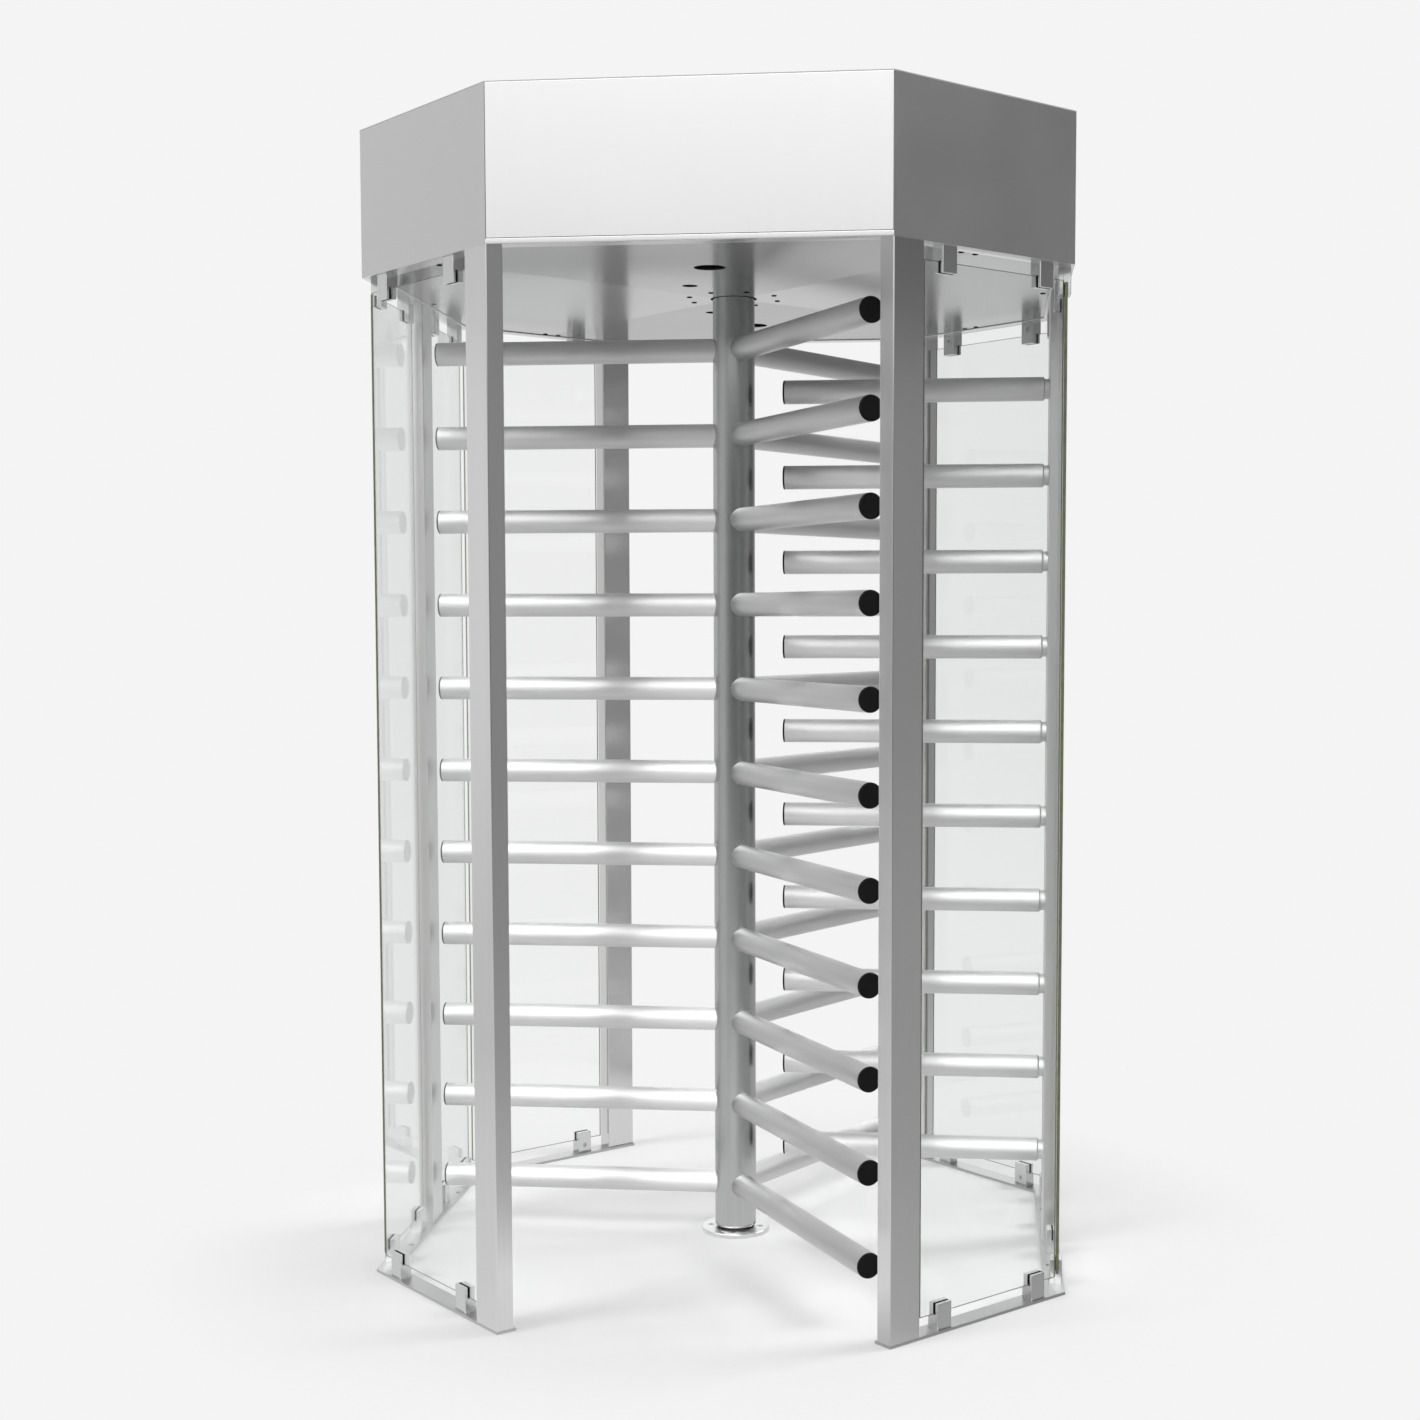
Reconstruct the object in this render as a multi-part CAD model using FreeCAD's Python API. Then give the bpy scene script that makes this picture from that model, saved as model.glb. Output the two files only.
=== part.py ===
import FreeCAD, Part
import math
import os
from FreeCAD import Vector

# Full height turnstile. Millimetres, +Z up, floor at z = 0, rotor axis on x = y = 0.
# The front opening faces -Y, the rear opening faces +Y, the fixed comb stands on +X.

# Overall plan: a square of walls with its four corners cut off.
TOTAL_HEIGHT = 2300.0
HALF_WIDTH = 700.0
HALF_DEPTH = 708.0
FRONT_HALF = 367.5
SIDE_HALF = 367.0

# Header: folded sheet panels round a steel frame.
HEADER_HEIGHT = 288.0
SHEET = 2.0
BOTTOM_FLANGE = 38.0
TOP_FLANGE = 16.0
SILL_HEIGHT = 10.0
COVER_SEAM = 0.6
COVER_SIDE_GAP = 0.9
COVER_HEM = 12.0
CEILING_THICKNESS = 3.0
CEILING_INSET = 4.0
CEILING_SEAM = 0.5
CEILING_HOLE_GAP = 5.0
FRAME_INSET = 36.0
FRAME_TUBE_WIDTH = 30.0
FRAME_TUBE_HEIGHT = 40.0
FRAME_WALL = 3.0

# Openings in the ceiling for a lamp and a presence sensor, front and rear.
LAMP_Y = 400.0
LAMP_RADIUS = 31.0
LAMP_HEIGHT = 28.0
LAMP_RECESS = 6.0
LAMP_RIM = 5.0
LAMP_BEZEL = 2.0
SENSOR_X = -68.0
SENSOR_PLATE_GAP = 26.0
SENSOR_RADIUS = 16.0
SENSOR_HEIGHT = 20.0
SENSOR_RIM = 2.0
SENSOR_NOSE_GAP = 2.0
SENSOR_RECESS = 2.0

# Posts: one rectangular tube size for all six.
POST_WIDTH = 75.0
POST_DEPTH = 36.0
POST_WALL = 2.0
POST_CORNER = 2.0
POST_END_PLATE = 6.0
POST_SCREW_SPREAD = 36.0

# Base plates and their floor anchor holes.
BASE_THICKNESS = 6.0
BASE_WIDTH = 42.0
ANCHOR_RADIUS = 5.5
ANCHOR_INSET = 30.0
ANCHOR_Y = 200.0

# Glass panes and the clamps that hold them.
GLASS_THICKNESS = 6.0
PANE_POST_GAP = 13.0
PANE_CORNER_GAP = 16.0
SIDE_PANE_POST_GAP = 20.0
CLAMP_WIDTH = 37.0
CLAMP_HEIGHT = 50.0
CLAMP_DEPTH = 26.0
CLAMP_JAW = 6.0
CLAMP_SLOT_DEPTH = 22.0
CLAMP_EDGE = 1.0
GASKET = 1.5
DIAGONAL_CLAMP_OFFSET = 57.0
SIDE_CLAMP_OFFSET = 46.0
CLAMP_SCREW_RADIUS = 3.0
CLAMP_SCREW_HEIGHT = 17.0
CLAMP_SCREW_LENGTH = 20.0
CLAMP_HEAD_RIM = 3.0
CLAMP_SOCKET_RADIUS = 1.8
CLAMP_SOCKET_DEPTH = 3.0

# Rotor: column, three wings of bars, and its foot bearing.
COLUMN_RADIUS = 44.5
COLUMN_WALL = 4.0
COLUMN_FOOT_GAP = 0.5
COLUMN_EDGE = 3.5
COLUMN_RISE = 13.0
WING_POST_GAP = 21.0
WING_ANGLES = (180.0, 300.0, 60.0)
BAR_PITCH = 180.0
LOWEST_BAR = 106.5
TOP_BAR_ROOM = 60.0
BAR_RADIUS = 25.0
BAR_WALL = 2.0
CAP_THICKNESS = 4.0
CAP_PLUG_LENGTH = 12.0
CAP_EDGE = 1.2
CAP_CLEARANCE = 0.1
FOOT_MARGIN = 29.0
FOOT_THICKNESS = 9.0
FOOT_EDGE = 1.0
FOOT_SCREW_OFFSET = 9.5
FOOT_SCREW_RADIUS = 3.5
FOOT_SCREW_COUNT = 4
FOOT_HEAD_RIM = 3.5
FOOT_SOCKET_RADIUS = 2.1
FOOT_SOCKET_DEPTH = 3.5
BUSH_WALL = 12.5
BUSH_HEIGHT = 44.0
SPIGOT_RISE = 5.5
THRUST_INSET = 5.5
THRUST_THICKNESS = 3.5
RUNNING_CLEARANCE = 0.05

# Fixed comb on the right side post.
COMB_COLUMN_GAP = 61.5
COMB_NECK_RADIUS = 21.0
COMB_NECK_LENGTH = 10.0
COMB_END_ROUND = 4.0

# Drive: plate, bearing, shaft and index disc.
PLATE_HALF_X = 190.0
PLATE_HALF_Y = 160.0
PLATE_THICKNESS = 10.0
PLATE_BEAM_MARGIN = 20.0
SHAFT_RADIUS = 27.5
COLLAR_STEP = 7.5
COLLAR_GAP = 2.0
PLUG_LENGTH = 60.0
BEARING_SECTION = 22.5
BEARING_HEIGHT = 22.0
BEARING_RING = 7.0
BEARING_GROOVE = 2.0
HOUSING_WALL = 20.0
HOUSING_HEIGHT = 60.0
HOUSING_SHOULDER = 8.0
HOUSING_COLUMN_GAP = 13.5
HOUSING_FLANGE = 22.0
HOUSING_FOOT_THICKNESS = 8.0
HOUSING_SCREW_COUNT = 4
DISC_LIFT = 18.0
DISC_THICKNESS = 12.0
DISC_RADIUS = 95.0
HUB_WALL = 7.5
HUB_RISE = 8.0
LUG_LENGTH = 25.0
LUG_HALF_ANGLE = 4.0
LUG_OFFSET = 30.0
NUT_WALL = 12.5
NUT_HEIGHT = 14.0
SHAFT_END = 26.0
SEAT_CLEARANCE = 0.1

# Lock levers, one on each side of the lug that stands at the rear of the disc.
LOCK_PLAY_ANGLE = 0.6
NOSE_HALF_ANGLE = 5.0
NOSE_RELIEF_ANGLE = 4.5
NOSE_GAP = 6.0
ARM_LUG_GAP = 3.0
ARM_HALF_WIDTH = 9.0
PIVOT_BEAM_OFFSET = 45.0
PIVOT_BOSS_RADIUS = 16.0
PIVOT_SHOULDER_RADIUS = 14.0
PIVOT_PIN_RADIUS = 7.0
PIVOT_FOOT_RADIUS = 18.0
PIVOT_FOOT_HEIGHT = 8.0
TAIL_LENGTH = 34.0
LINK_PIN_RADIUS = 3.0
LINK_CLEARANCE = 0.5
LINK_SLOT_LENGTH = 12.0
SPRING_RADIUS = 11.0
SPRING_WIRE_RADIUS = 0.8
SPRING_PITCH = 2.4
SPRING_TURNS = 5
PIVOT_CAP_RADIUS = 14.0
PIVOT_CAP_HEIGHT = 4.0

# Solenoids that pull the lever tails.
SOLENOID_HALF_WIDTH = 20.0
SOLENOID_LENGTH = 60.0
SOLENOID_END_WALL = 6.0
SOLENOID_STROKE_ROOM = 11.0
PLUNGER_RADIUS = 6.0
PLUNGER_REST_DEPTH = 44.0
FORK_HALF_WIDTH = 8.0
FORK_TINE = 3.5
FORK_BACK = 10.0
FORK_ARM_GAP = 2.0
BRACKET_THICKNESS = 4.0
BRACKET_FOOT_LENGTH = 30.0

# Electrical boxes that stand on the frame beams, and the cable inlet in the roof.
BOX_HALF_WIDTH = 180.0
CONTROL_BOX_INSET = 108.0
CONTROL_BOX_DEPTH = 150.0
CONTROL_BOX_HEIGHT = 80.0
SUPPLY_INSET = 128.0
SUPPLY_DEPTH = 110.0
SUPPLY_HEIGHT = 60.0
BOX_EDGE = 3.0
INLET_Y = 320.0
INLET_BORE = 8.0
INLET_WALL = 5.0
INLET_LIP = 4.0
INLET_DEPTH = 10.0

# Socket head screws of the posts, the drive plate and the bearing housing.
BOLT_RADIUS = 4.0
BOLT_HEAD_RIM = 2.4
BOLT_HEAD_HEIGHT = 8.0
BOLT_SOCKET_RADIUS = 3.2
BOLT_SOCKET_DEPTH = 4.0

# Countersunk screws of the ceiling and the roof.
CEILING_SCREW_CIRCLE = 97.0
CEILING_SCREW_COUNT = 8
CEILING_SCREW_RADIUS = 3.0
CEILING_HEAD_RIM = 3.0
CEILING_SCREW_LENGTH = 12.0
SEAM_SCREW_SPREAD = 37.0
ROOF_SCREW_RADIUS = 2.5
ROOF_SCREW_LENGTH = 9.0
SCREW_CLEARANCE = 0.2
THREAD_CLEARANCE = 0.1

HEADER_BOTTOM = TOTAL_HEIGHT - HEADER_HEIGHT
CEILING_BOTTOM = HEADER_BOTTOM + SHEET
CEILING_TOP = CEILING_BOTTOM + CEILING_THICKNESS
ROOF_BOTTOM = TOTAL_HEIGHT - SHEET
FRAME_TOP = CEILING_TOP + FRAME_TUBE_HEIGHT
PLATE_TOP = CEILING_TOP + PLATE_THICKNESS
BEAM_X = PLATE_HALF_X - PLATE_BEAM_MARGIN
SENSOR_Y = PLATE_HALF_Y + SENSOR_PLATE_GAP
POST_INNER_X = HALF_WIDTH - POST_DEPTH
WING_REACH = POST_INNER_X - WING_POST_GAP
BAR_COUNT = int((HEADER_BOTTOM - TOP_BAR_ROOM - LOWEST_BAR) / BAR_PITCH) + 1
COMB_COUNT = BAR_COUNT - 1
COMB_START = COLUMN_RADIUS + COMB_COLUMN_GAP
CEILING_HOLE_RADIUS = COLUMN_RADIUS + CEILING_HOLE_GAP
COLUMN_TOP = PLATE_TOP + COLUMN_RISE
COLUMN_BORE = COLUMN_RADIUS - COLUMN_WALL
THRUST_TOP = FOOT_THICKNESS + THRUST_THICKNESS
COLUMN_BOTTOM = THRUST_TOP + COLUMN_FOOT_GAP
FOOT_RADIUS = COLUMN_RADIUS + FOOT_MARGIN
FOOT_SCREW_CIRCLE = COLUMN_RADIUS + FOOT_SCREW_OFFSET
SPIGOT_RADIUS = COLUMN_BORE - BUSH_WALL
SPIGOT_TOP = THRUST_TOP + BUSH_HEIGHT + SPIGOT_RISE
THRUST_RADIUS = COLUMN_RADIUS - THRUST_INSET
COLLAR_RADIUS = SHAFT_RADIUS + COLLAR_STEP
BEARING_RADIUS = SHAFT_RADIUS + BEARING_SECTION
HOUSING_RADIUS = BEARING_RADIUS + HOUSING_WALL
HOUSING_BORE = COLUMN_RADIUS + HOUSING_COLUMN_GAP
HOUSING_FOOT_RADIUS = HOUSING_RADIUS + HOUSING_FLANGE
HOUSING_SCREW_CIRCLE = HOUSING_RADIUS + HOUSING_FLANGE / 2
HOUSING_TOP = PLATE_TOP + HOUSING_HEIGHT
ROOF_SCREW_INSET = (SHEET + TOP_FLANGE) / 2
INLET_RADIUS = INLET_BORE + INLET_WALL
SLOT_WIDTH = GLASS_THICKNESS + 2 * GASKET
CLAMP_INSET = (POST_DEPTH - CLAMP_DEPTH) / 2
SLOT_INSET = CLAMP_INSET + CLAMP_JAW
SLOT_FLOOR = BASE_THICKNESS + CLAMP_HEIGHT - CLAMP_SLOT_DEPTH
PANE_BOTTOM = SLOT_FLOOR + GASKET
LEVEL_SUM = BASE_THICKNESS + HEADER_BOTTOM
SCREW_LINE_INSET = FRAME_INSET + FRAME_TUBE_WIDTH / 2
LUG_ANGLE = 90.0
NOSE_ANGLE = LUG_HALF_ANGLE + NOSE_HALF_ANGLE + LOCK_PLAY_ANGLE
DISC_BOTTOM = HOUSING_TOP + DISC_LIFT
DISC_TOP = DISC_BOTTOM + DISC_THICKNESS
HUB_RADIUS = SHAFT_RADIUS + HUB_WALL
HUB_TOP = DISC_TOP + HUB_RISE
NUT_RADIUS = SHAFT_RADIUS + NUT_WALL
SHAFT_TOP = HUB_TOP + NUT_HEIGHT + SHAFT_END
LUG_RADIUS = DISC_RADIUS + LUG_LENGTH
ARM_Y = LUG_RADIUS + ARM_LUG_GAP + ARM_HALF_WIDTH
PIVOT_X = BEAM_X - PIVOT_BEAM_OFFSET
LINK_X = PIVOT_X + TAIL_LENGTH
FORK_START = ARM_Y - ARM_HALF_WIDTH - FORK_ARM_GAP - FORK_BACK
SOLENOID_MOUTH = FORK_START - SOLENOID_STROKE_ROOM
UP = Vector(0, 0, 1)
ORIGIN = Vector(0, 0, 0)
WALL_NAMES = ("front", "front_right", "right", "rear_right", "rear", "rear_left", "left", "front_left")
FRONT = WALL_NAMES.index("front")
RIGHT = WALL_NAMES.index("right")
REAR = WALL_NAMES.index("rear")
LEFT = WALL_NAMES.index("left")
SAME_PLACE = 0.01


def box(x0, x1, y0, y1, z0, z1):
    return Part.makeBox(x1 - x0, y1 - y0, z1 - z0, Vector(x0, y0, z0))


def cylinder(radius, z0, z1, x=0.0, y=0.0):
    return Part.makeCylinder(radius, z1 - z0, Vector(x, y, z0))


def cone(radius_low, radius_high, z0, z1, x=0.0, y=0.0):
    return Part.makeCone(radius_low, radius_high, z1 - z0, Vector(x, y, z0))


def tube(outer, inner, z0, z1, x=0.0, y=0.0):
    return cylinder(outer, z0, z1, x, y).cut(cylinder(inner, z0, z1, x, y))


def prism(points, z0, z1):
    corners = [Vector(x, y, z0) for x, y in points]
    face = Part.Face(Part.makePolygon(corners + corners[:1]))
    return face.extrude(Vector(0, 0, z1 - z0))


def turned(shape, degrees):
    copy = shape.copy()
    copy.rotate(ORIGIN, UP, degrees)
    return copy


def mirrored_x(shape):
    return shape.mirror(ORIGIN, Vector(1, 0, 0))


def mirrored_y(shape):
    return shape.mirror(ORIGIN, Vector(0, 1, 0))


def mirrored_up(shape):
    return shape.mirror(Vector(0, 0, LEVEL_SUM / 2), UP)


def fused(shapes):
    return shapes[0].multiFuse(shapes[1:]).removeSplitter()


def group(shapes):
    return Part.makeCompound(shapes)


def both_sides(shapes):
    return group(shapes + [mirrored_x(shape) for shape in shapes])


def four_quarters(shape):
    return {
        "front_right": shape,
        "front_left": mirrored_x(shape),
        "rear_right": mirrored_y(shape),
        "rear_left": mirrored_x(mirrored_y(shape)),
    }


# Plan geometry. Walls are numbered counterclockwise from the front, each an outward normal and a distance.
DIAGONAL_X = HALF_WIDTH - FRONT_HALF
DIAGONAL_Y = HALF_DEPTH - SIDE_HALF
DIAGONAL_LENGTH = math.hypot(DIAGONAL_X, DIAGONAL_Y)
DIAGONAL_NORMAL = (DIAGONAL_Y / DIAGONAL_LENGTH, DIAGONAL_X / DIAGONAL_LENGTH)
DIAGONAL_DISTANCE = DIAGONAL_NORMAL[0] * FRONT_HALF + DIAGONAL_NORMAL[1] * HALF_DEPTH
DIAGONAL_TURN = math.degrees(math.atan2(DIAGONAL_Y, DIAGONAL_X))


def wall_line(index):
    nx, ny = DIAGONAL_NORMAL
    lines = (
        (0.0, -1.0, HALF_DEPTH),
        (nx, -ny, DIAGONAL_DISTANCE),
        (1.0, 0.0, HALF_WIDTH),
        (nx, ny, DIAGONAL_DISTANCE),
        (0.0, 1.0, HALF_DEPTH),
        (-nx, ny, DIAGONAL_DISTANCE),
        (-1.0, 0.0, HALF_WIDTH),
        (-nx, -ny, DIAGONAL_DISTANCE),
    )
    return lines[index % len(lines)]


def corner(index, inset):
    """Where wall index ends and the next wall starts, both moved inwards by inset."""
    ax, ay, ad = wall_line(index)
    bx, by, bd = wall_line(index + 1)
    det = ax * by - ay * bx
    ad, bd = ad - inset, bd - inset
    return ((ad * by - bd * ay) / det, (ax * bd - bx * ad) / det)


def octagon(inset, z0, z1):
    return prism([corner(i, inset) for i in range(len(WALL_NAMES))], z0, z1)


def wall_strip(index, inset_out, inset_in, z0, z1, end_gap=0.0):
    nx, ny, _ = wall_line(index)
    along = (-ny, nx)

    def end(corner_index, inset, side):
        x, y = corner(corner_index, inset)
        return (x + side * along[0] * end_gap, y + side * along[1] * end_gap)

    points = [
        end(index - 1, inset_out, 1),
        end(index, inset_out, -1),
        end(index, inset_in, -1),
        end(index - 1, inset_in, 1),
    ]
    return prism(points, z0, z1)


def on_diagonal(shape):
    """From wall axes, x from the opening corner, y inwards, to the front right diagonal."""
    placed = turned(shape, DIAGONAL_TURN)
    placed.translate(Vector(FRONT_HALF, -HALF_DEPTH, 0))
    return placed


def on_side(shape):
    """From wall axes, x from the front corner, y inwards, to the right side wall."""
    placed = turned(shape, 90)
    placed.translate(Vector(HALF_WIDTH, -SIDE_HALF, 0))
    return placed


def wall_axis(place, x, y):
    point = place(Part.Vertex(x, y, 0)).Point
    return (point.x, point.y)


def place_points(points):
    """A pattern of one quarter, repeated in the other three."""
    return [(sx * x, sy * y) for x, y in points for sx in (1, -1) for sy in (1, -1)]


def post_screw_points():
    low = POST_WIDTH / 2 - POST_SCREW_SPREAD / 2
    high = POST_WIDTH / 2 + POST_SCREW_SPREAD / 2
    corners = [wall_axis(on_diagonal, x, POST_DEPTH / 2) for x in (low, high)]
    side = [(HALF_WIDTH - POST_DEPTH / 2, POST_SCREW_SPREAD / 2)]
    return place_points(corners + side)


def ring_screw_points():
    step = 360.0 / CEILING_SCREW_COUNT
    angles = [math.radians(step * (i + 0.5)) for i in range(CEILING_SCREW_COUNT)]
    return [(CEILING_SCREW_CIRCLE * math.cos(a), CEILING_SCREW_CIRCLE * math.sin(a)) for a in angles]


def seam_screw_points():
    middle = DIAGONAL_LENGTH / 2
    pair = [
        wall_axis(on_diagonal, middle + side * SEAM_SCREW_SPREAD / 2, SCREW_LINE_INSET)
        for side in (-1, 1)
    ]
    edge = HALF_WIDTH - SCREW_LINE_INSET
    return place_points(pair) + [(edge, 0.0), (-edge, 0.0)]


def roof_screw_points():
    points = []
    for i in range(len(WALL_NAMES)):
        ax, ay = corner(i - 1, ROOF_SCREW_INSET)
        bx, by = corner(i, ROOF_SCREW_INSET)
        points.append(((ax + bx) / 2, (ay + by) / 2))
    return points


def drilled(shape, points, radius, z0, z1):
    return shape.cut(group([cylinder(radius, z0, z1, x, y) for x, y in points]))


# Frame and header pieces.
def corner_post():
    outer = box(0, POST_WIDTH, 0, POST_DEPTH, BASE_THICKNESS, HEADER_BOTTOM)
    edges = [e for e in outer.Edges if abs(e.tangentAt(0).z) > 0.9]
    outer = outer.makeFillet(POST_CORNER, edges)
    hollow = box(POST_WALL, POST_WIDTH - POST_WALL, POST_WALL, POST_DEPTH - POST_WALL,
                 BASE_THICKNESS, HEADER_BOTTOM - POST_END_PLATE)
    return outer.cut(hollow)


def tapped_post(shape):
    thread = BOLT_RADIUS + THREAD_CLEARANCE
    return drilled(shape, post_screw_points(), thread, HEADER_BOTTOM - POST_END_PLATE, HEADER_BOTTOM)


def side_post():
    shape = corner_post()
    shape.translate(Vector(SIDE_HALF - POST_WIDTH / 2, 0, 0))
    return on_side(shape)


def base_plate():
    """Right-hand plate: one strip under the two right corner posts, the diagonals and the side."""
    strips = [wall_strip(i, 0, BASE_WIDTH, 0, BASE_THICKNESS) for i in (1, 2, 3)]
    plate = fused(strips)
    reach = POST_WIDTH + BASE_WIDTH
    square_end = on_diagonal(box(-reach, 0, -BASE_WIDTH, reach, 0, BASE_THICKNESS))
    plate = plate.cut(square_end).cut(mirrored_y(square_end))
    front_end = on_diagonal(box(0, POST_WIDTH, 0, BASE_WIDTH, 0, BASE_THICKNESS))
    plate = fused([plate, front_end, mirrored_y(front_end)])
    anchors = [(HALF_WIDTH - ANCHOR_INSET, side * ANCHOR_Y) for side in (-1, 1)]
    return drilled(plate, anchors, ANCHOR_RADIUS, 0, BASE_THICKNESS)


def header_panel(index):
    """One folded panel: outer sheet, bottom flange that the ceiling rests on, and roof flange."""
    sheet = wall_strip(index, 0, SHEET, HEADER_BOTTOM, ROOF_BOTTOM)
    bottom = wall_strip(index, SHEET, BOTTOM_FLANGE, HEADER_BOTTOM, CEILING_BOTTOM)
    top = wall_strip(index, SHEET, TOP_FLANGE, ROOF_BOTTOM - SHEET, ROOF_BOTTOM)
    return drill_header(fused([sheet, bottom, top]))


def header_sill(index):
    face = wall_strip(index, 0, SHEET, HEADER_BOTTOM, HEADER_BOTTOM + SILL_HEIGHT)
    flange = wall_strip(index, SHEET, BOTTOM_FLANGE, HEADER_BOTTOM, CEILING_BOTTOM)
    return drill_header(fused([face, flange]))


def header_cover(index):
    """Service cover over the sill, held at its roof flange."""
    low = HEADER_BOTTOM + SILL_HEIGHT + COVER_SEAM
    sheet = wall_strip(index, 0, SHEET, low, ROOF_BOTTOM, COVER_SIDE_GAP)
    hem = wall_strip(index, SHEET, COVER_HEM, low, low + SHEET, COVER_SIDE_GAP)
    top = wall_strip(index, SHEET, TOP_FLANGE, ROOF_BOTTOM - SHEET, ROOF_BOTTOM, COVER_SIDE_GAP)
    return drill_header(fused([sheet, hem, top]))


def drill_header(shape):
    post_hole = BOLT_RADIUS + SCREW_CLEARANCE
    roof_hole = ROOF_SCREW_RADIUS + THREAD_CLEARANCE
    shape = drilled(shape, post_screw_points(), post_hole, HEADER_BOTTOM, CEILING_TOP)
    return drilled(shape, roof_screw_points(), roof_hole, ROOF_BOTTOM - SHEET, ROOF_BOTTOM)


def ceiling_sector(index):
    """Quarter of the ceiling: it meets its neighbours at the middle of the diagonals."""
    near_left, near_right = corner(index - 1, CEILING_INSET), corner(index, CEILING_INSET)
    far_left, far_right = corner(index - 2, CEILING_INSET), corner(index + 1, CEILING_INSET)

    def middle(p, q):
        return ((p[0] + q[0]) / 2, (p[1] + q[1]) / 2)

    points = [(0.0, 0.0), middle(far_left, near_left), near_left, near_right, middle(near_right, far_right)]
    sheet = prism(points, CEILING_BOTTOM, CEILING_TOP)
    for seam_end in (points[1], points[4]):
        angle = math.degrees(math.atan2(seam_end[1], seam_end[0]))
        half = CEILING_SEAM / 2
        cutter = box(0, HALF_WIDTH + HALF_DEPTH, -half, half, CEILING_BOTTOM, CEILING_TOP)
        sheet = sheet.cut(turned(cutter, angle))
    sheet = sheet.cut(cylinder(CEILING_HOLE_RADIUS, CEILING_BOTTOM, CEILING_TOP))
    return drill_ceiling(sheet)


def lamp_points():
    return [(0.0, -LAMP_Y), (0.0, LAMP_Y)]


def sensor_points():
    return [(SENSOR_X, -SENSOR_Y), (SENSOR_X, SENSOR_Y)]


def drill_ceiling(sheet):
    sheet = drilled(sheet, lamp_points(), LAMP_RADIUS, CEILING_BOTTOM, CEILING_TOP)
    sheet = drilled(sheet, sensor_points(), SENSOR_RADIUS, CEILING_BOTTOM, CEILING_TOP)
    post_hole = BOLT_RADIUS + SCREW_CLEARANCE
    sheet = drilled(sheet, post_screw_points(), post_hole, CEILING_BOTTOM, CEILING_TOP)
    seats = [
        ceiling_screw_shape(x, y, SCREW_CLEARANCE)
        for x, y in ring_screw_points() + seam_screw_points()
    ]
    return sheet.cut(group(seats))


def ceiling_screw_shape(x, y, clearance=0.0):
    """Countersunk screw driven upwards, its head flush with the ceiling."""
    shank = CEILING_SCREW_RADIUS + clearance
    head = shank + CEILING_HEAD_RIM
    bottom = cone(head, shank, CEILING_BOTTOM, CEILING_BOTTOM + CEILING_HEAD_RIM, x, y)
    body = cylinder(shank, CEILING_BOTTOM, CEILING_BOTTOM + CEILING_SCREW_LENGTH, x, y)
    return fused([bottom, body])


def roof_plate():
    plate = octagon(0, ROOF_BOTTOM, TOTAL_HEIGHT)
    plate = plate.cut(cylinder(INLET_RADIUS, ROOF_BOTTOM, TOTAL_HEIGHT, 0, INLET_Y))
    seats = [roof_screw_shape(x, y, SCREW_CLEARANCE) for x, y in roof_screw_points()]
    return plate.cut(group(seats))


def roof_screw_shape(x, y, clearance=0.0):
    shank = ROOF_SCREW_RADIUS + clearance
    head = shank + SHEET
    top = cone(shank, head, ROOF_BOTTOM, TOTAL_HEIGHT, x, y)
    body = cylinder(shank, TOTAL_HEIGHT - ROOF_SCREW_LENGTH, TOTAL_HEIGHT, x, y)
    return fused([top, body])


def sheet_screws():
    """Countersunk screws of the ceiling and the roof."""
    ceiling = [ceiling_screw_shape(x, y) for x, y in ring_screw_points() + seam_screw_points()]
    return group(ceiling + [roof_screw_shape(x, y) for x, y in roof_screw_points()])


def cable_inlet():
    """Rubber grommet in the roof, level with it, with a lip under the sheet."""
    low = TOTAL_HEIGHT - INLET_DEPTH
    body = cylinder(INLET_RADIUS, low, TOTAL_HEIGHT, 0, INLET_Y)
    lip = cylinder(INLET_RADIUS + INLET_LIP, low, ROOF_BOTTOM, 0, INLET_Y)
    return fused([body, lip]).cut(cylinder(INLET_BORE, low, TOTAL_HEIGHT, 0, INLET_Y))


def header_frame():
    """Octagon of open-topped channel on the ceiling, with two beams across the drive plate."""
    inner = FRAME_INSET + FRAME_TUBE_WIDTH
    ring = octagon(FRAME_INSET, CEILING_TOP, FRAME_TOP).cut(octagon(inner, CEILING_TOP, FRAME_TOP))
    end = HALF_DEPTH - inner + FRAME_WALL
    half = FRAME_TUBE_WIDTH / 2
    beams = [box(x - half, x + half, -end, end, PLATE_TOP, FRAME_TOP) for x in (-BEAM_X, BEAM_X)]
    frame = fused([ring] + beams)
    channel = octagon(FRAME_INSET + FRAME_WALL, CEILING_TOP + FRAME_WALL, FRAME_TOP)
    channel = channel.cut(octagon(inner - FRAME_WALL, CEILING_TOP, FRAME_TOP))
    run = HALF_DEPTH - inner
    grooves = [
        box(x - half + FRAME_WALL, x + half - FRAME_WALL, -run, run, PLATE_TOP + FRAME_WALL, FRAME_TOP)
        for x in (-BEAM_X, BEAM_X)
    ]
    frame = frame.cut(group([channel] + grooves))
    seam_hole = CEILING_SCREW_RADIUS + THREAD_CLEARANCE
    frame = drilled(frame, seam_screw_points(), seam_hole, CEILING_TOP, FRAME_TOP)
    bolt_hole = BOLT_RADIUS + SCREW_CLEARANCE
    return drilled(frame, plate_bolt_points(), bolt_hole, PLATE_TOP, PLATE_TOP + FRAME_WALL)


def cap_screw(x, y, seat, length):
    """Socket head cap screw pointing down, its head standing on seat."""
    top = seat + BOLT_HEAD_HEIGHT
    head = cylinder(BOLT_RADIUS + BOLT_HEAD_RIM, seat, top, x, y)
    socket = cylinder(BOLT_SOCKET_RADIUS, top - BOLT_SOCKET_DEPTH, top, x, y)
    shank = cylinder(BOLT_RADIUS, seat - length, seat, x, y)
    return fused([head.cut(socket), shank])


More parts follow.
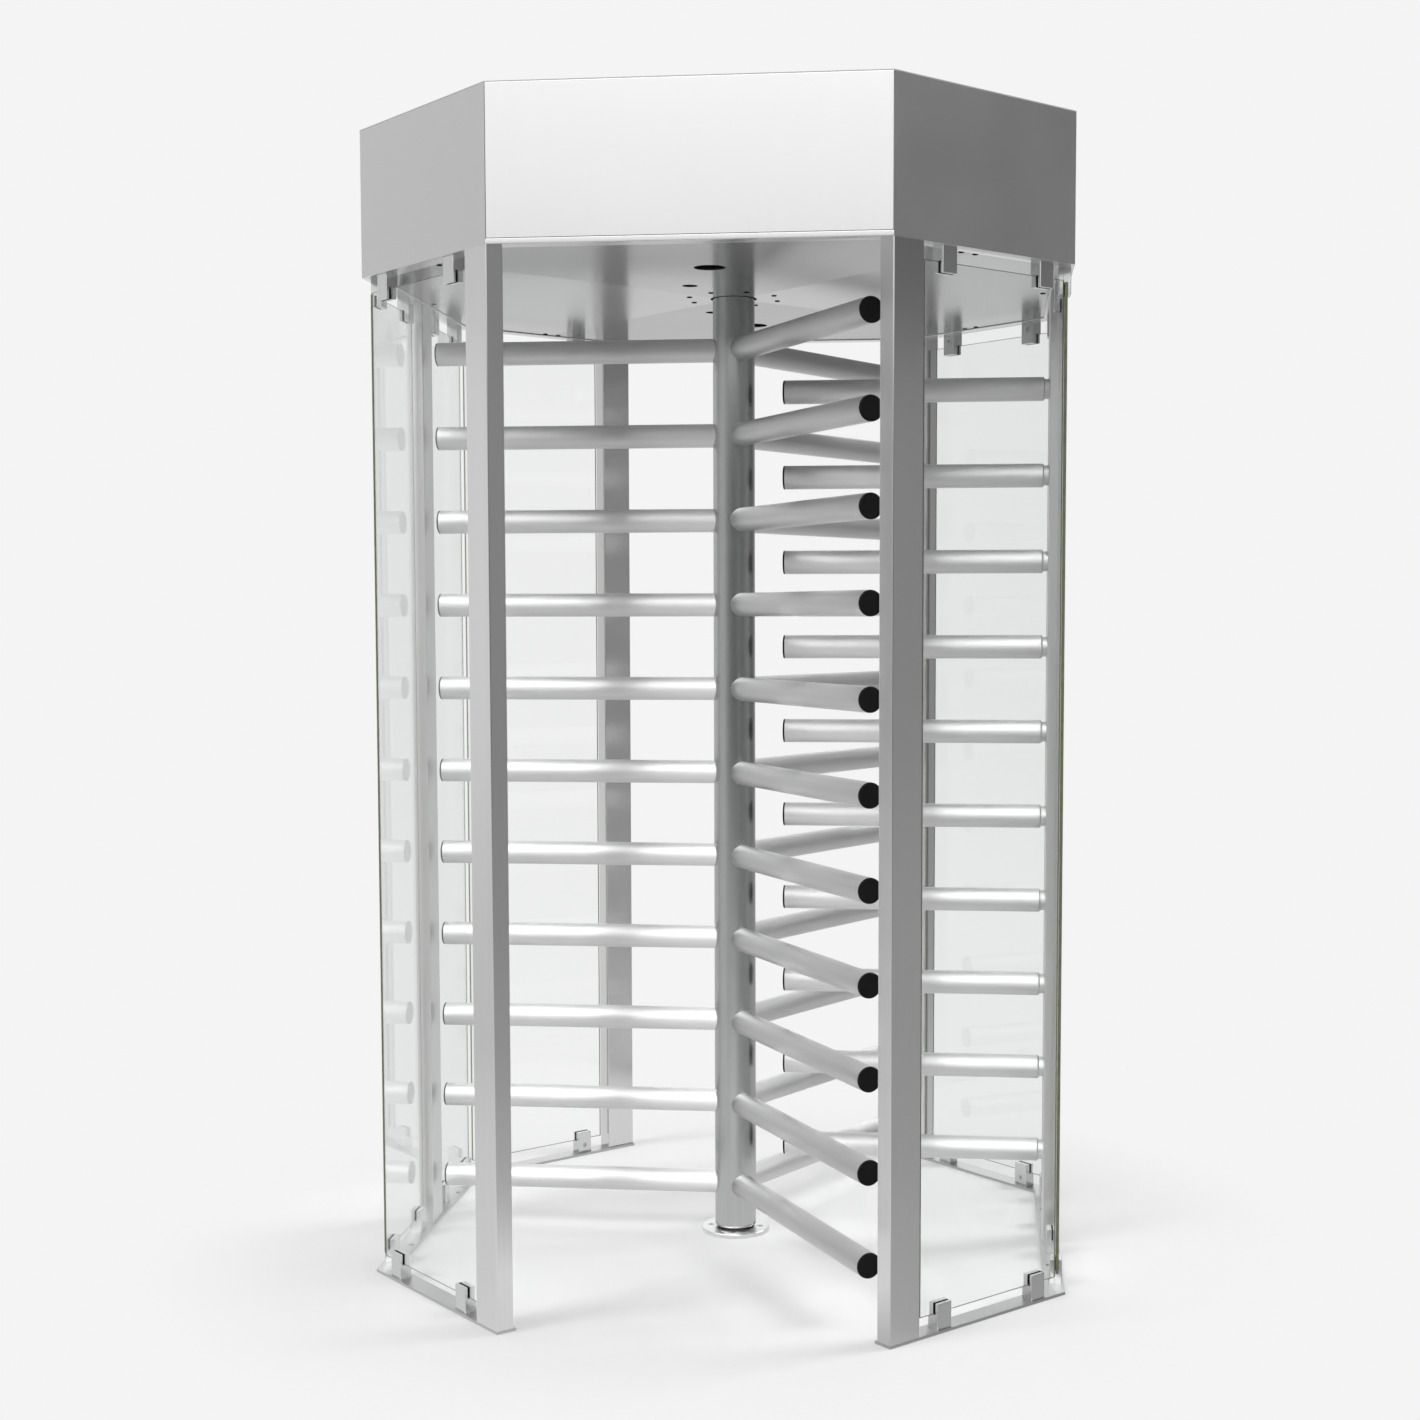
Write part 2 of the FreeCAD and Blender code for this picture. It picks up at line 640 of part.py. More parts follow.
def plate_bolt_points():
    y = PLATE_HALF_Y - FRAME_TUBE_WIDTH / 2
    return [(sx * BEAM_X, sy * y) for sx in (1, -1) for sy in (1, -1)]


def ceiling_lamp(x, y):
    body = cylinder(LAMP_RADIUS + LAMP_RIM, CEILING_TOP, CEILING_TOP + LAMP_HEIGHT, x, y)
    return body.cut(cylinder(LAMP_RADIUS - LAMP_BEZEL, CEILING_TOP, CEILING_TOP + LAMP_RECESS, x, y))


def presence_sensor(x, y):
    body = cylinder(SENSOR_RADIUS + SENSOR_RIM, CEILING_TOP, CEILING_TOP + SENSOR_HEIGHT, x, y)
    nose_radius = SENSOR_RADIUS - SENSOR_NOSE_GAP
    nose = cylinder(nose_radius, CEILING_BOTTOM + SENSOR_RECESS, CEILING_TOP, x, y)
    return fused([body, nose])


# Glass panes and clamps, in wall axes.
def pane(start, end):
    y = SLOT_INSET + GASKET
    return box(start, end, y, y + GLASS_THICKNESS, PANE_BOTTOM, LEVEL_SUM - PANE_BOTTOM)


def diagonal_pane_span():
    return POST_WIDTH + PANE_POST_GAP, DIAGONAL_LENGTH - PANE_CORNER_GAP


def side_pane_span():
    return PANE_CORNER_GAP, SIDE_HALF - POST_WIDTH / 2 - SIDE_PANE_POST_GAP


def clamp_places():
    """The four clamp positions of one quarter, as (placing function, x along the wall)."""
    d0, d1 = diagonal_pane_span()
    s0, s1 = side_pane_span()
    return (
        (on_diagonal, d0 + DIAGONAL_CLAMP_OFFSET),
        (on_diagonal, d1 - DIAGONAL_CLAMP_OFFSET),
        (on_side, s0 + SIDE_CLAMP_OFFSET),
        (on_side, s1 - SIDE_CLAMP_OFFSET),
    )


def clamp_body(x):
    """Outer jaw and foot block in one piece."""
    half = CLAMP_WIDTH / 2
    top = BASE_THICKNESS + CLAMP_HEIGHT
    jaw = box(x - half, x + half, CLAMP_INSET, SLOT_INSET, BASE_THICKNESS, top)
    block = box(x - half, x + half, CLAMP_INSET, SLOT_INSET + SLOT_WIDTH, BASE_THICKNESS, SLOT_FLOOR)
    body = fused([jaw, block])
    edges = [e for e in body.Edges if on_clamp_rim(e, CLAMP_INSET, top)]
    body = body.makeChamfer(CLAMP_EDGE, edges)
    return body.cut(clamp_screw_hole(x, CLAMP_SCREW_RADIUS + THREAD_CLEARANCE))


def on_clamp_rim(edge, y, top):
    """True for the edges round the visible face at y, except the one on the foot."""
    box_ = edge.BoundBox
    flat = abs(box_.YMin - y) < SAME_PLACE and abs(box_.YMax - y) < SAME_PLACE
    foot = max(abs(z - BASE_THICKNESS) for z in (box_.ZMin, box_.ZMax)) < SAME_PLACE
    return flat and not foot


def clamp_plate(x):
    """Inner jaw, pulled against the glass by its screw."""
    half = CLAMP_WIDTH / 2
    top = BASE_THICKNESS + CLAMP_HEIGHT
    inner = CLAMP_INSET + CLAMP_DEPTH
    plate = box(x - half, x + half, SLOT_INSET + SLOT_WIDTH, inner, BASE_THICKNESS, top)
    edges = [e for e in plate.Edges if on_clamp_rim(e, inner, top)]
    plate = plate.makeChamfer(CLAMP_EDGE, edges)
    plate = plate.cut(clamp_screw_hole(x, CLAMP_SCREW_RADIUS + SCREW_CLEARANCE))
    return plate.cut(clamp_screw_head(x, SCREW_CLEARANCE))


def clamp_screw_hole(x, radius):
    inner = CLAMP_INSET + CLAMP_DEPTH
    z = BASE_THICKNESS + CLAMP_SCREW_HEIGHT
    start = Vector(x, inner - CLAMP_SCREW_LENGTH, z)
    return Part.makeCylinder(radius, CLAMP_SCREW_LENGTH, start, Vector(0, 1, 0))


def clamp_screw_head(x, clearance=0.0):
    inner = CLAMP_INSET + CLAMP_DEPTH
    z = BASE_THICKNESS + CLAMP_SCREW_HEIGHT
    shank = CLAMP_SCREW_RADIUS + clearance
    start = Vector(x, inner - CLAMP_HEAD_RIM, z)
    return Part.makeCone(shank, shank + CLAMP_HEAD_RIM, CLAMP_HEAD_RIM, start, Vector(0, 1, 0))


def clamp_screw(x):
    inner = CLAMP_INSET + CLAMP_DEPTH
    z = BASE_THICKNESS + CLAMP_SCREW_HEIGHT
    body = fused([clamp_screw_hole(x, CLAMP_SCREW_RADIUS), clamp_screw_head(x)])
    socket = Part.makeCylinder(CLAMP_SOCKET_RADIUS, CLAMP_SOCKET_DEPTH,
                               Vector(x, inner - CLAMP_SOCKET_DEPTH, z), Vector(0, 1, 0))
    return body.cut(socket)


def clamp_gasket(x):
    """U-shaped rubber liner between the jaws and the pane edge."""
    half = CLAMP_WIDTH / 2
    top = BASE_THICKNESS + CLAMP_HEIGHT
    outer = box(x - half, x + half, SLOT_INSET, SLOT_INSET + SLOT_WIDTH, SLOT_FLOOR, top)
    y = SLOT_INSET + GASKET
    return outer.cut(box(x - half, x + half, y, y + GLASS_THICKNESS, PANE_BOTTOM, top))


def at_every_clamp(make):
    pieces = []
    for place, x in clamp_places():
        low = place(make(x))
        for shape in (low, mirrored_up(low)):
            pieces.extend(four_quarters(shape).values())
    return group(pieces)


# Rotor.
def bar_heights():
    return [LOWEST_BAR + i * BAR_PITCH for i in range(BAR_COUNT)]


def rotor_column():
    """Tube whose outer edge is rounded at the foot."""
    shape = cylinder(COLUMN_RADIUS, COLUMN_BOTTOM, COLUMN_TOP)
    rim = [e for e in shape.Edges if abs(e.BoundBox.ZMax - COLUMN_BOTTOM) < SAME_PLACE]
    shape = shape.makeFillet(min(COLUMN_EDGE, COLUMN_WALL - SAME_PLACE), rim)
    return shape.cut(cylinder(COLUMN_BORE, COLUMN_BOTTOM, COLUMN_TOP))


def level_cylinder(radius, x0, x1, z):
    return Part.makeCylinder(radius, x1 - x0, Vector(x0, 0, z), Vector(1, 0, 0))


def rotor_bar(z):
    """Tube along +X whose root is cut to the column's curve."""
    end = WING_REACH - CAP_THICKNESS
    bar = level_cylinder(BAR_RADIUS, 0, end, z).cut(level_cylinder(BAR_RADIUS - BAR_WALL, 0, end, z))
    column = cylinder(COLUMN_RADIUS, z - 2 * BAR_RADIUS, z + 2 * BAR_RADIUS)
    bar = bar.cut(column)
    return max(bar.Solids, key=lambda s: s.Volume)


def bar_cap(z, end, outward):
    """Black end plug: a disc over the tube's end and a stem inside it."""
    disc = Part.makeCylinder(BAR_RADIUS, CAP_THICKNESS, Vector(end, 0, z), Vector(outward, 0, 0))
    outer_face = end + outward * CAP_THICKNESS
    rim = [e for e in disc.Edges if abs(e.BoundBox.Center.x - outer_face) < SAME_PLACE]
    disc = disc.makeChamfer(CAP_EDGE, rim)
    stem_radius = BAR_RADIUS - BAR_WALL - CAP_CLEARANCE
    stem = Part.makeCylinder(stem_radius, CAP_PLUG_LENGTH, Vector(end, 0, z), Vector(-outward, 0, 0))
    return fused([disc, stem])


def wing(angle):
    return group([turned(rotor_bar(z), angle) for z in bar_heights()])


def wing_caps():
    caps = [bar_cap(z, WING_REACH - CAP_THICKNESS, 1) for z in bar_heights()]
    return group([turned(cap, angle) for angle in WING_ANGLES for cap in caps])


def foot_screw_points():
    step = 360.0 / FOOT_SCREW_COUNT
    angles = [math.radians(step * i) for i in range(FOOT_SCREW_COUNT)]
    return [(FOOT_SCREW_CIRCLE * math.cos(a), FOOT_SCREW_CIRCLE * math.sin(a)) for a in angles]


def foot_flange():
    """Floor flange with the spigot that the rotor turns on."""
    disc = cylinder(FOOT_RADIUS, 0, FOOT_THICKNESS)
    rim = [e for e in disc.Edges if abs(e.BoundBox.ZMin - FOOT_THICKNESS) < SAME_PLACE]
    disc = disc.makeChamfer(FOOT_EDGE, rim)
    shape = fused([disc, cylinder(SPIGOT_RADIUS, 0, SPIGOT_TOP)])
    seats = [foot_screw_shape(x, y, SCREW_CLEARANCE) for x, y in foot_screw_points()]
    return shape.cut(group(seats))


def foot_screw_shape(x, y, clearance=0.0):
    shank = FOOT_SCREW_RADIUS + clearance
    head = shank + FOOT_HEAD_RIM
    top = cone(shank, head, FOOT_THICKNESS - FOOT_HEAD_RIM, FOOT_THICKNESS, x, y)
    return fused([cylinder(shank, 0, FOOT_THICKNESS, x, y), top])


def foot_screw(x, y):
    socket = cylinder(FOOT_SOCKET_RADIUS, FOOT_THICKNESS - FOOT_SOCKET_DEPTH, FOOT_THICKNESS, x, y)
    return foot_screw_shape(x, y).cut(socket)


def thrust_ring():
    return tube(THRUST_RADIUS, SPIGOT_RADIUS + RUNNING_CLEARANCE, FOOT_THICKNESS, THRUST_TOP)


def foot_bush():
    """Bush pressed into the column, turning on the spigot and standing on the thrust ring."""
    outer = COLUMN_BORE - RUNNING_CLEARANCE
    return tube(outer, SPIGOT_RADIUS + RUNNING_CLEARANCE, THRUST_TOP, THRUST_TOP + BUSH_HEIGHT)


# Fixed comb.
def comb_heights():
    return [LOWEST_BAR + (i + 0.5) * BAR_PITCH for i in range(COMB_COUNT)]


def comb_bar(z):
    """Tube from near the column to the side post, with a rounded shoulder and a welded neck."""
    start = COMB_START + CAP_THICKNESS
    shoulder = POST_INNER_X - COMB_NECK_LENGTH
    bar = level_cylinder(BAR_RADIUS, start, shoulder, z)
    rim = [e for e in bar.Edges if abs(e.BoundBox.XMin - shoulder) < SAME_PLACE and e.Length > BAR_RADIUS]
    bar = bar.makeFillet(COMB_END_ROUND, rim)
    neck = level_cylinder(COMB_NECK_RADIUS, shoulder - BAR_WALL, POST_INNER_X, z)
    bar = fused([bar, neck])
    hollow_end = shoulder - COMB_END_ROUND - BAR_WALL
    return bar.cut(level_cylinder(BAR_RADIUS - BAR_WALL, start, hollow_end, z))


def comb_bars():
    return group([comb_bar(z) for z in comb_heights()])


def comb_caps():
    return group([bar_cap(z, COMB_START + CAP_THICKNESS, -1) for z in comb_heights()])


# Drive pieces in the header.
def drive_plate():
    plate = box(-PLATE_HALF_X, PLATE_HALF_X, -PLATE_HALF_Y, PLATE_HALF_Y, CEILING_TOP, PLATE_TOP)
    plate = plate.cut(cylinder(CEILING_HOLE_RADIUS, CEILING_TOP, PLATE_TOP))
    thread = CEILING_SCREW_RADIUS + THREAD_CLEARANCE
    plate = drilled(plate, ring_screw_points(), thread, CEILING_TOP, PLATE_TOP)
    bolt = BOLT_RADIUS + SCREW_CLEARANCE
    plate = drilled(plate, plate_bolt_points(), bolt, CEILING_TOP, PLATE_TOP)
    tap = BOLT_RADIUS + THREAD_CLEARANCE
    return drilled(plate, housing_screw_points(), tap, CEILING_TOP, PLATE_TOP)


def housing_screw_points():
    step = 360.0 / HOUSING_SCREW_COUNT
    angles = [math.radians(step * i) for i in range(HOUSING_SCREW_COUNT)]
    return [(HOUSING_SCREW_CIRCLE * math.cos(a), HOUSING_SCREW_CIRCLE * math.sin(a)) for a in angles]


def bearing_housing():
    foot_top = PLATE_TOP + HOUSING_FOOT_THICKNESS
    seat = HOUSING_TOP - BEARING_HEIGHT
    shape = fused([cylinder(HOUSING_FOOT_RADIUS, PLATE_TOP, foot_top),
                   cylinder(HOUSING_RADIUS, PLATE_TOP, HOUSING_TOP)])
    shape = shape.cut(cylinder(HOUSING_BORE, PLATE_TOP, seat - HOUSING_SHOULDER))
    shape = shape.cut(cylinder(COLLAR_RADIUS + COLLAR_GAP, PLATE_TOP, HOUSING_TOP))
    shape = shape.cut(cylinder(BEARING_RADIUS + SEAT_CLEARANCE, seat, HOUSING_TOP))
    hole = BOLT_RADIUS + SCREW_CLEARANCE
    return drilled(shape, housing_screw_points(), hole, PLATE_TOP, foot_top)


def cap_screws():
    """Socket head screws of the posts, the drive plate and the bearing housing."""
    housing_seat = PLATE_TOP + HOUSING_FOOT_THICKNESS
    patterns = (
        (post_screw_points(), CEILING_TOP, CEILING_TOP - HEADER_BOTTOM + POST_END_PLATE),
        (plate_bolt_points(), PLATE_TOP + FRAME_WALL, FRAME_WALL + PLATE_THICKNESS),
        (housing_screw_points(), housing_seat, HOUSING_FOOT_THICKNESS + PLATE_THICKNESS),
    )
    return group([
        cap_screw(x, y, seat, length)
        for points, seat, length in patterns
        for x, y in points
    ])


def top_bearing():
    """Sealed ball bearing, seen as its rings and the groove over the seal."""
    inner = SHAFT_RADIUS + RUNNING_CLEARANCE
    ring = tube(BEARING_RADIUS, inner, HOUSING_TOP - BEARING_HEIGHT, HOUSING_TOP)
    groove_low = HOUSING_TOP - BEARING_GROOVE
    groove = tube(BEARING_RADIUS - BEARING_RING, inner + BEARING_RING, groove_low, HOUSING_TOP)
    return ring.cut(groove)


def drive_shaft():
    """Plug in the column's top, collar under the bearing, and the shaft up to the nut."""
    plug = cylinder(COLUMN_BORE - RUNNING_CLEARANCE, COLUMN_TOP - PLUG_LENGTH, COLUMN_TOP)
    collar_top = HOUSING_TOP - BEARING_HEIGHT - SEAT_CLEARANCE
    collar = cylinder(COLLAR_RADIUS, COLUMN_TOP, collar_top)
    shaft = cylinder(SHAFT_RADIUS, COLUMN_TOP, SHAFT_TOP)
    return fused([plug, collar, shaft])


def index_disc():
    """Hub and disc on the shaft with one lock lug for each wing."""
    half = math.radians(LUG_HALF_ANGLE)
    ends = ((HUB_RADIUS, half), (HUB_RADIUS, -half), (LUG_RADIUS, -half), (LUG_RADIUS, half))
    lug = prism([(r * math.cos(a), r * math.sin(a)) for r, a in ends], DISC_BOTTOM, DISC_TOP)
    lugs = [turned(lug, angle + LUG_OFFSET) for angle in WING_ANGLES]
    hub_bottom = HOUSING_TOP + SEAT_CLEARANCE
    hub = cylinder(HUB_RADIUS, hub_bottom, HUB_TOP)
    disc = fused([cylinder(DISC_RADIUS, DISC_BOTTOM, DISC_TOP), hub] + lugs)
    return disc.cut(cylinder(SHAFT_RADIUS + RUNNING_CLEARANCE, hub_bottom, SHAFT_TOP))


def shaft_nut():
    points = [
        (NUT_RADIUS * math.cos(math.radians(60 * i)), NUT_RADIUS * math.sin(math.radians(60 * i)))
        for i in range(6)
    ]
    nut = prism(points, HUB_TOP, HUB_TOP + NUT_HEIGHT)
    return nut.cut(cylinder(SHAFT_RADIUS + RUNNING_CLEARANCE, HUB_TOP, HUB_TOP + NUT_HEIGHT))


def lock_lever():
    """Right-hand lever: nose beside the lug, its flank relieved to swing clear, arm, boss and slotted tail."""
    reach = ARM_Y - ARM_HALF_WIDTH
    angle = math.radians(LUG_ANGLE - NOSE_ANGLE)
    half = math.radians(NOSE_HALF_ANGLE)
    root = DISC_RADIUS + NOSE_GAP
    tip = angle + half - math.radians(NOSE_RELIEF_ANGLE)
    low_near = (root * math.cos(tip), root * math.sin(tip))
    low_far = (root * math.cos(angle - half), root * math.sin(angle - half))
    high_near = (reach / math.tan(angle + half), reach)
    high_far = (reach / math.tan(angle - half), reach)
    nose = prism([low_near, low_far, high_far, high_near], DISC_BOTTOM, DISC_TOP)
    arm = box(high_near[0], LINK_X, reach, ARM_Y + ARM_HALF_WIDTH, DISC_BOTTOM, DISC_TOP)
    boss = cylinder(PIVOT_BOSS_RADIUS, DISC_BOTTOM, DISC_TOP, PIVOT_X, ARM_Y)
    tail = cylinder(ARM_HALF_WIDTH, DISC_BOTTOM, DISC_TOP, LINK_X, ARM_Y)
    lever = fused([nose, arm, boss, tail])
    bore = cylinder(PIVOT_PIN_RADIUS + RUNNING_CLEARANCE, DISC_BOTTOM, DISC_TOP, PIVOT_X, ARM_Y)
    slot_half = LINK_PIN_RADIUS + LINK_CLEARANCE
    run = LINK_SLOT_LENGTH / 2 - slot_half
    slot = fused([
        box(LINK_X - run, LINK_X + run, ARM_Y - slot_half, ARM_Y + slot_half, DISC_BOTTOM, DISC_TOP),
        cylinder(slot_half, DISC_BOTTOM, DISC_TOP, LINK_X - run, ARM_Y),
        cylinder(slot_half, DISC_BOTTOM, DISC_TOP, LINK_X + run, ARM_Y),
    ])
    return lever.cut(bore).cut(slot)


def spring_top():
    return DISC_TOP + LINK_CLEARANCE + SPRING_TURNS * SPRING_PITCH + 2 * SPRING_WIRE_RADIUS


def pivot_post():
    """Foot, shoulder under the lever, running pin and cap over the spring."""
    foot = cylinder(PIVOT_FOOT_RADIUS, PLATE_TOP, PLATE_TOP + PIVOT_FOOT_HEIGHT, PIVOT_X, ARM_Y)
    shoulder = cylinder(PIVOT_SHOULDER_RADIUS, PLATE_TOP, DISC_BOTTOM, PIVOT_X, ARM_Y)
    cap_low = spring_top() + LINK_CLEARANCE
    pin = cylinder(PIVOT_PIN_RADIUS, PLATE_TOP, cap_low, PIVOT_X, ARM_Y)
    cap = cylinder(PIVOT_CAP_RADIUS, cap_low, cap_low + PIVOT_CAP_HEIGHT, PIVOT_X, ARM_Y)
    return fused([foot, shoulder, pin, cap])


def lever_spring():
    """Return spring coiled round the pivot pin above the lever."""
    low = DISC_TOP + LINK_CLEARANCE + SPRING_WIRE_RADIUS
    path = Part.makeHelix(SPRING_PITCH, SPRING_PITCH * SPRING_TURNS, SPRING_RADIUS)
    section = Part.Wire(Part.makeCircle(SPRING_WIRE_RADIUS, Vector(SPRING_RADIUS, 0, 0), Vector(0, 1, 0)))
    coil = Part.Wire(path).makePipeShell([section], True, True)
    coil.translate(Vector(PIVOT_X, ARM_Y, low))
    return coil


def axis_height():
    return (DISC_BOTTOM + DISC_TOP) / 2


def solenoid():
    z = axis_height()
    w = SOLENOID_HALF_WIDTH
    back = SOLENOID_MOUTH - SOLENOID_LENGTH
    body = box(LINK_X - w, LINK_X + w, back, SOLENOID_MOUTH, z - w, z + w)
    bore = Part.makeCylinder(PLUNGER_RADIUS + RUNNING_CLEARANCE, SOLENOID_LENGTH,
                             Vector(LINK_X, back + SOLENOID_END_WALL, z), Vector(0, 1, 0))
    return body.cut(bore)


def solenoid_bracket():
    """Angle from the drive plate to the underside of the solenoid."""
    low = axis_height() - SOLENOID_HALF_WIDTH
    y0, y1 = SOLENOID_MOUTH - SOLENOID_LENGTH, SOLENOID_MOUTH
    wall_x = BEAM_X - FRAME_TUBE_WIDTH / 2 - LINK_CLEARANCE
    foot = box(wall_x - BRACKET_FOOT_LENGTH, wall_x, y0, y1, PLATE_TOP, PLATE_TOP + BRACKET_THICKNESS)
    wall = box(wall_x - BRACKET_THICKNESS, wall_x, y0, y1, PLATE_TOP, low)
    shelf = box(LINK_X - SOLENOID_HALF_WIDTH, LINK_X + SOLENOID_HALF_WIDTH, y0, y1,
                low - BRACKET_THICKNESS, low)
    return fused([foot, wall, shelf])


def plunger():
    """Plunger rod with a fork round the lever's tail and the link pin through both."""
    z = axis_height()
    start = SOLENOID_MOUTH - PLUNGER_REST_DEPTH
    gap = DISC_THICKNESS / 2 + LINK_CLEARANCE
    outer = gap + FORK_TINE
    rod = Part.makeCylinder(PLUNGER_RADIUS, FORK_START - start, Vector(LINK_X, start, z), Vector(0, 1, 0))
    fork = box(LINK_X - FORK_HALF_WIDTH, LINK_X + FORK_HALF_WIDTH, FORK_START, ARM_Y + FORK_HALF_WIDTH,
               z - outer, z + outer)
    throat = box(LINK_X - FORK_HALF_WIDTH, LINK_X + FORK_HALF_WIDTH, FORK_START + FORK_BACK,
                 ARM_Y + FORK_HALF_WIDTH, z - gap, z + gap)
    pin = cylinder(LINK_PIN_RADIUS, z - outer, z + outer, LINK_X, ARM_Y)
    return fused([rod, fork.cut(throat), pin])


def equipment_box(y, depth, height):
    shape = box(-BOX_HALF_WIDTH, BOX_HALF_WIDTH, y, y + depth, FRAME_TOP, FRAME_TOP + height)
    edges = [e for e in shape.Edges if abs(e.tangentAt(0).z) > 0.9]
    return shape.makeFillet(BOX_EDGE, edges)


def build_frame():
    parts = {}
    for name, shape in four_quarters(on_diagonal(corner_post())).items():
        parts["post_" + name] = tapped_post(shape)
    parts["post_side_right"] = tapped_post(side_post())
    parts["post_side_left"] = tapped_post(mirrored_x(side_post()))
    parts["base_plate_right"] = base_plate()
    parts["base_plate_left"] = mirrored_x(base_plate())
    parts["foot_flange"] = foot_flange()
    parts["foot_screws"] = group([foot_screw(x, y) for x, y in foot_screw_points()])
    parts["thrust_ring"] = thrust_ring()
    parts["comb_bars"] = comb_bars()
    parts["comb_caps"] = comb_caps()
    return parts


def build_header():
    parts = {}
    for index, name in enumerate(WALL_NAMES):
        if index in (FRONT, REAR):
            parts["header_cover_" + name] = header_cover(index)
        else:
            parts["header_panel_" + name] = header_panel(index)
    parts["header_sills"] = group([header_sill(index) for index in (FRONT, REAR)])
    for index in (FRONT, RIGHT, REAR, LEFT):
        parts["ceiling_" + WALL_NAMES[index]] = ceiling_sector(index)
    parts["roof_plate"] = roof_plate()
    parts["header_frame"] = header_frame()
    parts["sheet_screws"] = sheet_screws()
    parts["cap_screws"] = cap_screws()
    parts["cable_inlet"] = cable_inlet()
    parts["ceiling_lamps"] = group([ceiling_lamp(x, y) for x, y in lamp_points()])
    parts["presence_sensors"] = group([presence_sensor(x, y) for x, y in sensor_points()])
    control_y = CONTROL_BOX_INSET - HALF_DEPTH
    parts["control_box"] = equipment_box(control_y, CONTROL_BOX_DEPTH, CONTROL_BOX_HEIGHT)
    supply_y = HALF_DEPTH - SUPPLY_INSET - SUPPLY_DEPTH
    parts["power_supply"] = equipment_box(supply_y, SUPPLY_DEPTH, SUPPLY_HEIGHT)
    return parts


def build_glass():
    corner_pane = on_diagonal(pane(*diagonal_pane_span()))
    side_pane = on_side(pane(*side_pane_span()))
    return {
        "glass_corner_panes": group(list(four_quarters(corner_pane).values())),
        "glass_side_panes": group(list(four_quarters(side_pane).values())),
        "clamp_bodies": at_every_clamp(clamp_body),
        "clamp_plates": at_every_clamp(clamp_plate),
        "clamp_gaskets": at_every_clamp(clamp_gasket),
        "clamp_screws": at_every_clamp(clamp_screw),
    }


def build_rotor():
    parts = {"rotor_column": rotor_column()}
    for letter, angle in zip("abc", WING_ANGLES):
        parts["wing_" + letter] = wing(angle)
    parts["wing_caps"] = wing_caps()
    parts["foot_bush"] = foot_bush()
    parts["drive_shaft"] = drive_shaft()
    parts["index_disc"] = index_disc()
    parts["shaft_nut"] = shaft_nut()
    return parts


def build_lock():
    parts = {
        "drive_plate": drive_plate(),
        "bearing_housing": bearing_housing(),
        "top_bearing": top_bearing(),
    }
    for name, shape in (("lock_lever", lock_lever()), ("plunger", plunger())):
        parts[name + "_right"] = shape
        parts[name + "_left"] = mirrored_x(shape)
    parts["lock_supports"] = both_sides([pivot_post(), solenoid_bracket()])
    parts["lever_springs"] = both_sides([lever_spring()])
    parts["solenoids"] = both_sides([solenoid()])
    return parts


def main():
    os.makedirs("parts", exist_ok=True)
    parts = {}
    for build in (build_frame, build_header, build_glass, build_rotor, build_lock):
        parts.update(build())
    for name, shape in parts.items():
        good = shape.isValid() and all(shell.isClosed() for shell in shape.Shells)
        print(name, len(shape.Solids), round(shape.Volume), "ok" if good else "FAULTY")
        shape.exportStep(os.path.join("parts", name + ".step"))
    print("nodes", len(parts))


main()
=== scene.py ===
import math
import bmesh
import bpy
from mathutils import Matrix, Vector


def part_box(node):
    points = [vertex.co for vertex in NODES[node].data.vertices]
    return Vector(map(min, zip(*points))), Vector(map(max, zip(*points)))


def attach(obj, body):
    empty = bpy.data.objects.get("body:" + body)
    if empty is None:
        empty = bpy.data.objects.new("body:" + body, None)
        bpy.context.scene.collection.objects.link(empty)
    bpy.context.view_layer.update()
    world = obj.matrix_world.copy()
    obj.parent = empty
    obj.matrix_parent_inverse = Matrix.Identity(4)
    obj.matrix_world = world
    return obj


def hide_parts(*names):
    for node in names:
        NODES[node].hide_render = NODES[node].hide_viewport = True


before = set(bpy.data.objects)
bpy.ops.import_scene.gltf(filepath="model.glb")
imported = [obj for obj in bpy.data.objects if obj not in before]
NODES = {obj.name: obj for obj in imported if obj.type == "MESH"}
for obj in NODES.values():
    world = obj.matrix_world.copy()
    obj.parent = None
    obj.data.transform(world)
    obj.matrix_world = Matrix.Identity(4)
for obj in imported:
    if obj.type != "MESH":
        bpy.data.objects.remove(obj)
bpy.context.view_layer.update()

MM = 0.001

# Camera, fitted to the photo. The focal length is in pixels of the photo, which is square.
PHOTO_PIXELS = 1420
FOCAL_PIXELS = 2047.68
SENSOR_WIDTH = 36.0
CAMERA_PLACE = (0.510917, -4.382261, 1.346037)
CAMERA_TURN = (85.886, 0.083, 6.102)
CAMERA_SHIFT = (-0.03098, 0.03631)

# Rotor and comb. Angles are in degrees from the right side, anticlockwise from above.
WING_ANGLES = {"wing_a": 180.0, "wing_b": 300.0, "wing_c": 60.0}
BAR_PITCH = 180.0
LOWEST_BAR = 106.5
BAR_HEIGHTS = [(LOWEST_BAR + BAR_PITCH * i) * MM for i in range(11)]
COMB_HEIGHTS = [(LOWEST_BAR + BAR_PITCH * (i + 0.5)) * MM for i in range(10)]
WING_REACH = 643.0 * MM
COMB_START = 106.0 * MM


# Shaders.
class Value:
    """One output of a node, used in sums like a number."""

    def __init__(self, shader, socket):
        self.shader = shader
        self.socket = socket

    def __add__(self, other):
        return self.shader.math("ADD", self, other)

    def __sub__(self, other):
        return self.shader.math("SUBTRACT", self, other)

    def __rsub__(self, other):
        return self.shader.math("SUBTRACT", other, self)

    def __mul__(self, other):
        return self.shader.math("MULTIPLY", self, other)

    def __truediv__(self, other):
        return self.shader.math("DIVIDE", self, other)

    __radd__ = __add__
    __rmul__ = __mul__


